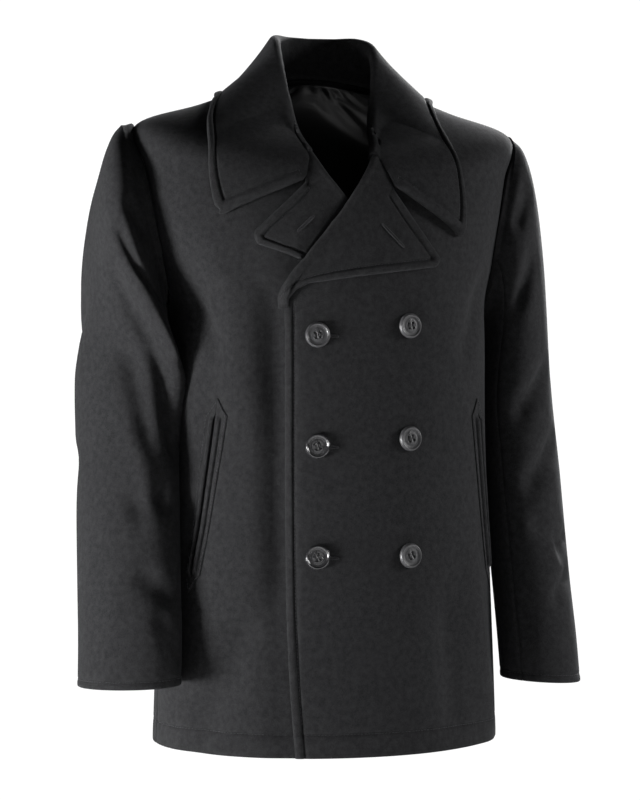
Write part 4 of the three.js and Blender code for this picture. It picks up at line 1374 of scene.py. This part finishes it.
@dataclass
class SlashPocket:
    """A slanted pocket: two jets beside a slit, framed by stitches that end in arrows."""

    side: Side
    top: tuple[float, float] = (157, -392)
    bottom: tuple[float, float] = (178, -572)
    length: float = 180.0
    slit: float = 3.0
    ridge: float = 3.4
    flange: float = 1.0
    front_width: tuple[float, float] = (16.0, 11.0)
    back_width: tuple[float, float] = (14.0, 7.0)
    arrow: float = 19.0
    flat: tuple[float, float] = (0.0125, 0.19)

    def at(self, along: Array, across: Array, height: Array | float) -> Array:
        """Points beside the slit.

        Args:
            along: Shares of the way from the slit's top to its bottom.
            across: Distances towards the side seam.
            height: How far above the front.

        Returns:
            The points.
        """
        x, z = mix(self.top[0], self.bottom[0], along), mix(self.top[1], self.bottom[1], along)
        level, turn = BODY.place_on_front(x, z)
        per_degree = np.linalg.norm(BODY.point(level, turn + 0.5) - BODY.point(level, turn - 0.5), axis=-1)
        return BODY.out(level, self.side.value * (turn + across / per_degree), height)

    def spread(self, word: str, share: Array, place: Array) -> tuple[Array, Array]:
        """Where the points of one jet lie.

        Args:
            word: "front" or "back".
            share: Shares of the jet's length, arrow ends included.
            place: Shares of its width, from the slit.

        Returns:
            Shares along the slit and distances across it.
        """
        top, bottom = self.front_width if word == "front" else self.back_width
        tip = self.arrow / self.length
        start, end = -tip * (1 - place), 1 + tip * (1 - place)
        along = mix(start, end, share)
        slit = self.slit / 2 * smooth((np.minimum(along, 1 - along) + 0.01) / 0.02) + 0.25
        across = slit + place * mix(top, bottom, np.clip(along, 0, 1))
        return along, across * (-1 if word == "front" else 1)

    def jet_strip(self, word: str, wardrobe: Wardrobe) -> bpy.types.Object:
        """Makes one jet and returns it."""
        share = np.concatenate([[0, 0.004, 0.01, 0.018], np.linspace(0.03, 0.97, 84), [0.982, 0.99, 0.996, 1]])[:, None]
        place = np.array([0, 0.04, 0.1, 0.18, 0.28, 0.38, 0.46, 0.5, 0.54, 0.6, 0.7, 0.82, 0.9, 0.95, 0.98, 1])[None, :]
        along, across = self.spread(word, share, place)
        in_slit = smooth((np.minimum(along, 1 - along) - 0.005) / 0.03)
        swell = np.sqrt(np.clip(1 - ((place - 0.24) / 0.27) ** 2, 0, 1)) * in_slit
        groove = np.exp(-(((place - 0.53) / 0.035) ** 2)) * in_slit
        ends = np.minimum(share, 1 - share) * self.length
        rounding = rim_fall(np.minimum((1 - place) * 10, ends), 1.6, 1.2)
        crown = self.flange + self.ridge * swell - 0.7 * groove - 0.5 * rounding
        upper = self.at(along, across, SEAM + np.maximum(crown, 0.3))
        under = self.at(along, across, SEAM * np.ones_like(crown))
        name = f"pocket_welt_{self.side.word}_{word}"
        piece = make_wall(f"{name}_cloth", upper, under, wardrobe.give(Finish.MELTON))
        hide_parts(name)
        return piece

    def build(self, wardrobe: Wardrobe, stitches: Stitches) -> list[bpy.types.Object]:
        """Makes the jets, sews them round and returns them."""
        jets = []
        for word in ("front", "back"):
            jets.append(self.jet_strip(word, wardrobe))
            inside = 0.87
            for share, place in ((np.linspace(0.01, 0.99, 200), np.full(200, inside)),
                                 (np.full(30, 0.012), np.linspace(0.05, inside, 30)),
                                 (np.full(30, 0.988), np.linspace(0.05, inside, 30))):
                along, across = self.spread(word, share, place)
                stitches.sew(self.at(along, across, SEAM + self.flange + 0.15))
        return jets


@dataclass
class Buttonhole:
    """A worked buttonhole: a raised thread edge round a slit."""

    name: str
    side: Side
    start: tuple[float, float]
    end: tuple[float, float]
    base: float
    half_width: float = 1.1
    radius: float = 0.7
    purls: int = 50

    def build(self, wardrobe: Wardrobe) -> bpy.types.Object:
        """Makes the buttonhole's edge and returns it."""
        a, b = np.array(self.start), np.array(self.end)
        way = unit(b - a)
        side_way = np.array([-way[1], way[0]])
        angles = np.linspace(0, 2 * np.pi, 161)[:-1]
        half_length = np.linalg.norm(b - a) / 2
        across = self.half_width * np.sin(angles)
        along = np.sign(np.cos(angles)) * np.abs(np.cos(angles)) ** 0.35 * half_length
        middle = (a + b) / 2
        flat = middle + along[:, None] * way + across[:, None] * side_way
        route = front_out(self.side, flat[:, 0], flat[:, 1], self.base)
        outward = front_out(self.side, flat[:, 0], flat[:, 1], self.base + 1) - route
        tangent = unit(np.roll(route, -1, axis=0) - np.roll(route, 1, axis=0))
        sideways = np.cross(tangent, unit(outward))
        ripple = 1 + 0.16 * np.sin(angles * self.purls)
        points = []
        turns = np.linspace(0, 2 * np.pi, 9)[:-1]
        for t in turns:
            points.append(route + (self.radius * ripple)[:, None]
                          * (np.cos(t) * sideways + np.sin(t) * unit(outward) * 0.8))
        grid = np.swapaxes(np.array(points), 0, 1)
        rows, columns = grid.shape[:2]
        faces = [(j * columns + i, j * columns + (i + 1) % columns,
                  ((j + 1) % rows) * columns + (i + 1) % columns, ((j + 1) % rows) * columns + i)
                 for j in range(rows) for i in range(columns)]
        return make_object(self.name, hang(grid.reshape(-1, 3)), faces, wardrobe.give(Finish.THREAD))


@dataclass
class Button:
    """A four-hole button with a rope rim and a small raised anchor, sewn on with a thread cross."""

    side: Side
    row: int
    height_z: float
    gloss: bool
    spin: float
    column: float = 54.0
    radius: float = 14.0
    holes: float = 2.7
    hole_radius: float = 1.15

    def relief(self, x: Array, y: Array) -> Array:
        """Height of the button's upper face: a roped rim, a dished middle, an anchor and four holes."""
        r, angle = np.hypot(x, y), np.arctan2(y, x)
        rim = 1.5 * np.exp(-(((r - 12.0) / 1.25) ** 2))
        rope = 0.22 * np.exp(-(((r - 9.6) / 0.55) ** 2)) * (1 + 0.8 * np.sin(angle * 30))
        dish = 3.5 + 0.25 * smooth((8.4 - r) / 2)
        anchor = self.anchor(x, y)
        spots = [(sx * self.holes, sy * self.holes) for sx in (-1, 1) for sy in (-1, 1)]
        near = np.min([np.hypot(x - hx, y - hy) for hx, hy in spots], axis=0)
        pit = 2.2 * smooth((self.hole_radius + 0.35 - near) / 0.6)
        return dish + rim + rope + anchor * (near > self.hole_radius + 0.3) - pit

    def anchor(self, x: Array, y: Array) -> Array:
        """A plain anchor: ring, stock, shank and arms."""
        shank = np.exp(-((x / 0.5) ** 2)) * smooth((5.4 - np.abs(y - 0.2)) / 0.5)
        stock = np.exp(-(((y - 4.2) / 0.45) ** 2)) * smooth((2.6 - np.abs(x)) / 0.5)
        arms = np.exp(-(((np.hypot(x, y - 0.2) - 5.6) / 0.5) ** 2)) * smooth((-y - 1.6) / 0.8)
        ring = np.exp(-(((np.hypot(x, y - 6.6) - 1.0) / 0.35) ** 2))
        return 0.42 * np.maximum(np.maximum(shank, stock), np.maximum(arms, ring))

    def build(self, wardrobe: Wardrobe) -> list[bpy.types.Object]:
        """Makes the button and its thread, and returns them."""
        rings = np.concatenate([[0.001], np.linspace(0.35, 13.0, 46), [13.4, 13.75, 13.95, 14.0]])
        angles = np.linspace(0, 2 * np.pi, 97)[:-1]
        r, a = np.meshgrid(rings, angles, indexing="ij")
        x, y = r * np.cos(a), r * np.sin(a)
        upper = self.relief(x, y) - 2.2 * (1 - np.sqrt(np.maximum(1 - np.clip((r - 12.6) / 1.4, 0, 1) ** 2, 0)))
        lower = 1.9 * smooth((r - 9.0) / 5.0)
        grid = np.concatenate([np.stack([x, y, upper], -1), np.stack([x, y, lower], -1)[::-1]])
        rows, columns = grid.shape[:2]
        faces = [(j * columns + i, j * columns + (i + 1) % columns, (j + 1) * columns + (i + 1) % columns,
                  (j + 1) * columns + i) for j in range(rows - 1) for i in range(columns)]
        faces.append(tuple(range(columns))[::-1])
        faces.append(tuple((rows - 1) * columns + i for i in range(columns)))
        material = wardrobe.gloss_button if self.gloss else wardrobe.give(Finish.BUTTON)
        name = f"button_{self.row}_{self.side.word}"
        body = make_object(f"{name}_moulded", self.seat(grid.reshape(-1, 3)), faces, material)
        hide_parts(name)
        return [body, self.thread(name, wardrobe)]

    def seat(self, local: Array) -> Array:
        """Returns points set from the button's own frame onto the coat."""
        level, turn = BODY.place_on_front(self.side.value * self.column, self.height_z)
        normal = BODY.normal(level, turn)
        centre = hang(BODY.out(level, turn, np.array(SEAM)))
        up = unit(np.array([0, 0, 1.0]) - normal * normal[2])
        across = np.cross(up, normal)
        spin = math.radians(self.spin)
        u = local[:, 0:1] * math.cos(spin) - local[:, 1:2] * math.sin(spin)
        v = local[:, 0:1] * math.sin(spin) + local[:, 1:2] * math.cos(spin)
        return centre + across * u + up * v + normal * local[:, 2:3]

    def thread(self, name: str, wardrobe: Wardrobe) -> bpy.types.Object:
        """Makes the two bars of thread over the holes and returns them."""
        points, faces = [], []
        for side_x in (-1, 1):
            for strand in (-0.45, 0.0, 0.45):
                base = len(points)
                for t in np.linspace(-1, 1, 13):
                    lift = 4.15 - 2.6 * abs(t) ** 6
                    for angle in np.linspace(0, 2 * np.pi, 7)[:-1]:
                        points.append((side_x * self.holes + strand + 0.3 * math.cos(angle),
                                       self.holes * t, lift + 0.3 * math.sin(angle)))
                for k in range(12):
                    for s in range(6):
                        a, b = base + k * 6 + s, base + k * 6 + (s + 1) % 6
                        faces.append((a, b, b + 6, a + 6))
        return make_object(f"{name}_thread", self.seat(np.array(points, dtype=float)), faces,
                           wardrobe.give(Finish.THREAD))


@dataclass
class Studio:
    """Camera, lights, floor and white surround."""

    azimuth: float = -17.5
    distance: float = 2.9
    height: float = -0.375
    aside: float = -0.007
    pixels_per_tangent: float = 2479.0
    frame_height: int = 800
    floor_z: float = -1.55

    def camera(self) -> None:
        """Sets the camera at the photograph's angle."""
        data = bpy.data.cameras.new("camera")
        data.sensor_fit = "VERTICAL"
        data.sensor_height = 24.0
        data.lens = 24.0 * self.pixels_per_tangent / self.frame_height
        data.clip_end = 60
        angle = math.radians(self.azimuth)
        back = np.array([math.sin(angle), -math.cos(angle), 0.0])
        right = np.array([math.cos(angle), math.sin(angle), 0.0])
        camera = bpy.data.objects.new("camera", data)
        camera.location = back * self.distance + right * self.aside + np.array([0, 0, self.height])
        camera.rotation_euler = (math.pi / 2, 0, angle)
        bpy.context.scene.collection.objects.link(camera)
        bpy.context.scene.camera = camera

    def light(self, name: str, place: tuple[float, float, float], size: tuple[float, float], power: float) -> None:
        """Adds a soft area light that faces the coat."""
        data = bpy.data.lights.new(name, "AREA")
        data.shape = "RECTANGLE"
        data.size, data.size_y = size
        data.energy = power
        lamp = bpy.data.objects.new(name, data)
        lamp.location = place
        way = np.array([0, 0, self.height]) - np.array(place)
        flat = math.hypot(way[0], way[1])
        lamp.rotation_euler = (math.pi / 2 - math.atan2(-way[2], flat), 0, math.atan2(-way[0], way[1]))
        bpy.context.scene.collection.objects.link(lamp)

    def surround(self) -> None:
        """Adds the floor and the white surround that only the camera sees."""
        for name, build in (("floor", self.add_floor), ("surround", self.add_dome)):
            thing = build()
            thing.name = name

    def add_floor(self) -> bpy.types.Object:
        """Returns the pale floor."""
        bpy.ops.mesh.primitive_circle_add(vertices=96, radius=3.4, fill_type="NGON", location=(0, 0, self.floor_z))
        floor = bpy.context.object
        material, _, _, shader = new_material("floor_white")
        shader.inputs["Base Color"].default_value = (0.86, 0.86, 0.86, 1)
        shader.inputs["Roughness"].default_value = 0.9
        floor.data.materials.append(material)
        return floor

    def add_dome(self) -> bpy.types.Object:
        """Returns the white surround."""
        bpy.ops.mesh.primitive_uv_sphere_add(segments=48, ring_count=24, radius=14)
        dome = bpy.context.object
        material, _, _, shader = new_material("surround_white")
        shader.inputs["Base Color"].default_value = (0, 0, 0, 1)
        shader.inputs["Emission Color"].default_value = (1, 1, 1, 1)
        shader.inputs["Emission Strength"].default_value = 1.05
        dome.data.materials.append(material)
        dome.visible_diffuse = False
        dome.visible_glossy = False
        dome.visible_shadow = False
        dome.visible_transmission = False
        return dome

    def build(self) -> None:
        """Sets the whole studio."""
        self.camera()
        self.surround()
        self.light("low_left", (-3.2, -0.65, -1.25), (0.9, 1.1), 275)
        self.light("high_right", (3.0, -0.9, 0.5), (0.9, 1.1), 92)
        self.light("front", (-0.2, -3.4, -0.5), (1.2, 1.6), 5)
        self.light("rim_right", (1.8, 2.0, 1.3), (0.4, 1.4), 260)
        self.light("rim_left", (-2.2, 1.9, 0.5), (0.5, 1.6), 40)
        world = bpy.data.worlds.new("world")
        world.use_nodes = True
        world.node_tree.nodes["Background"].inputs["Color"].default_value = (1, 1, 1, 1)
        world.node_tree.nodes["Background"].inputs["Strength"].default_value = 0.02
        bpy.context.scene.world = world
        bpy.context.scene.view_settings.view_transform = "Standard"


def dress_coat(wardrobe: Wardrobe) -> None:
    """Makes every piece of the coat in order.

    Args:
        wardrobe: The finishes.
    """
    stitches = Stitches("topstitching")
    buttons = ((1, -292, -303, False, False), (2, -418, -426, False, True), (3, -549, -549, False, True))
    for side in Side:
        for piece in (FrontPanel(side), BackPanel(side), Sleeve(side), Lapel(side), SlashPocket(side)):
            piece.build(wardrobe, stitches)
            log.info("%s %s done", type(piece).__name__, side.word)
        for row, left_z, right_z, left_gloss, right_gloss in buttons:
            is_left = side is Side.LEFT
            Button(side, row, left_z if is_left else right_z, left_gloss if is_left else right_gloss,
                   9.0 * row).build(wardrobe)
    Collar().build(wardrobe, stitches)
    BackLining().build(wardrobe)
    Buttonhole("lapel_buttonhole_left", Side.LEFT, (32, -180), (55, -205), 7.7).build(wardrobe)
    Buttonhole("lapel_buttonhole_right", Side.RIGHT, (46, -173), (65, -190), 8.9).build(wardrobe)
    for row, _, right_z, _, _ in buttons:
        Buttonhole(f"buttonhole_{row}", Side.LEFT, (-62, right_z), (-31, right_z - 1.5), 0.5).build(wardrobe)
    stitches.build(wardrobe)
    log.info("coat done")


def main() -> None:
    """Builds the coat and its studio."""
    logging.basicConfig(level=logging.INFO)
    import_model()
    Studio().build()
    dress_coat(Wardrobe())


if __name__ == "__main__":
    main()
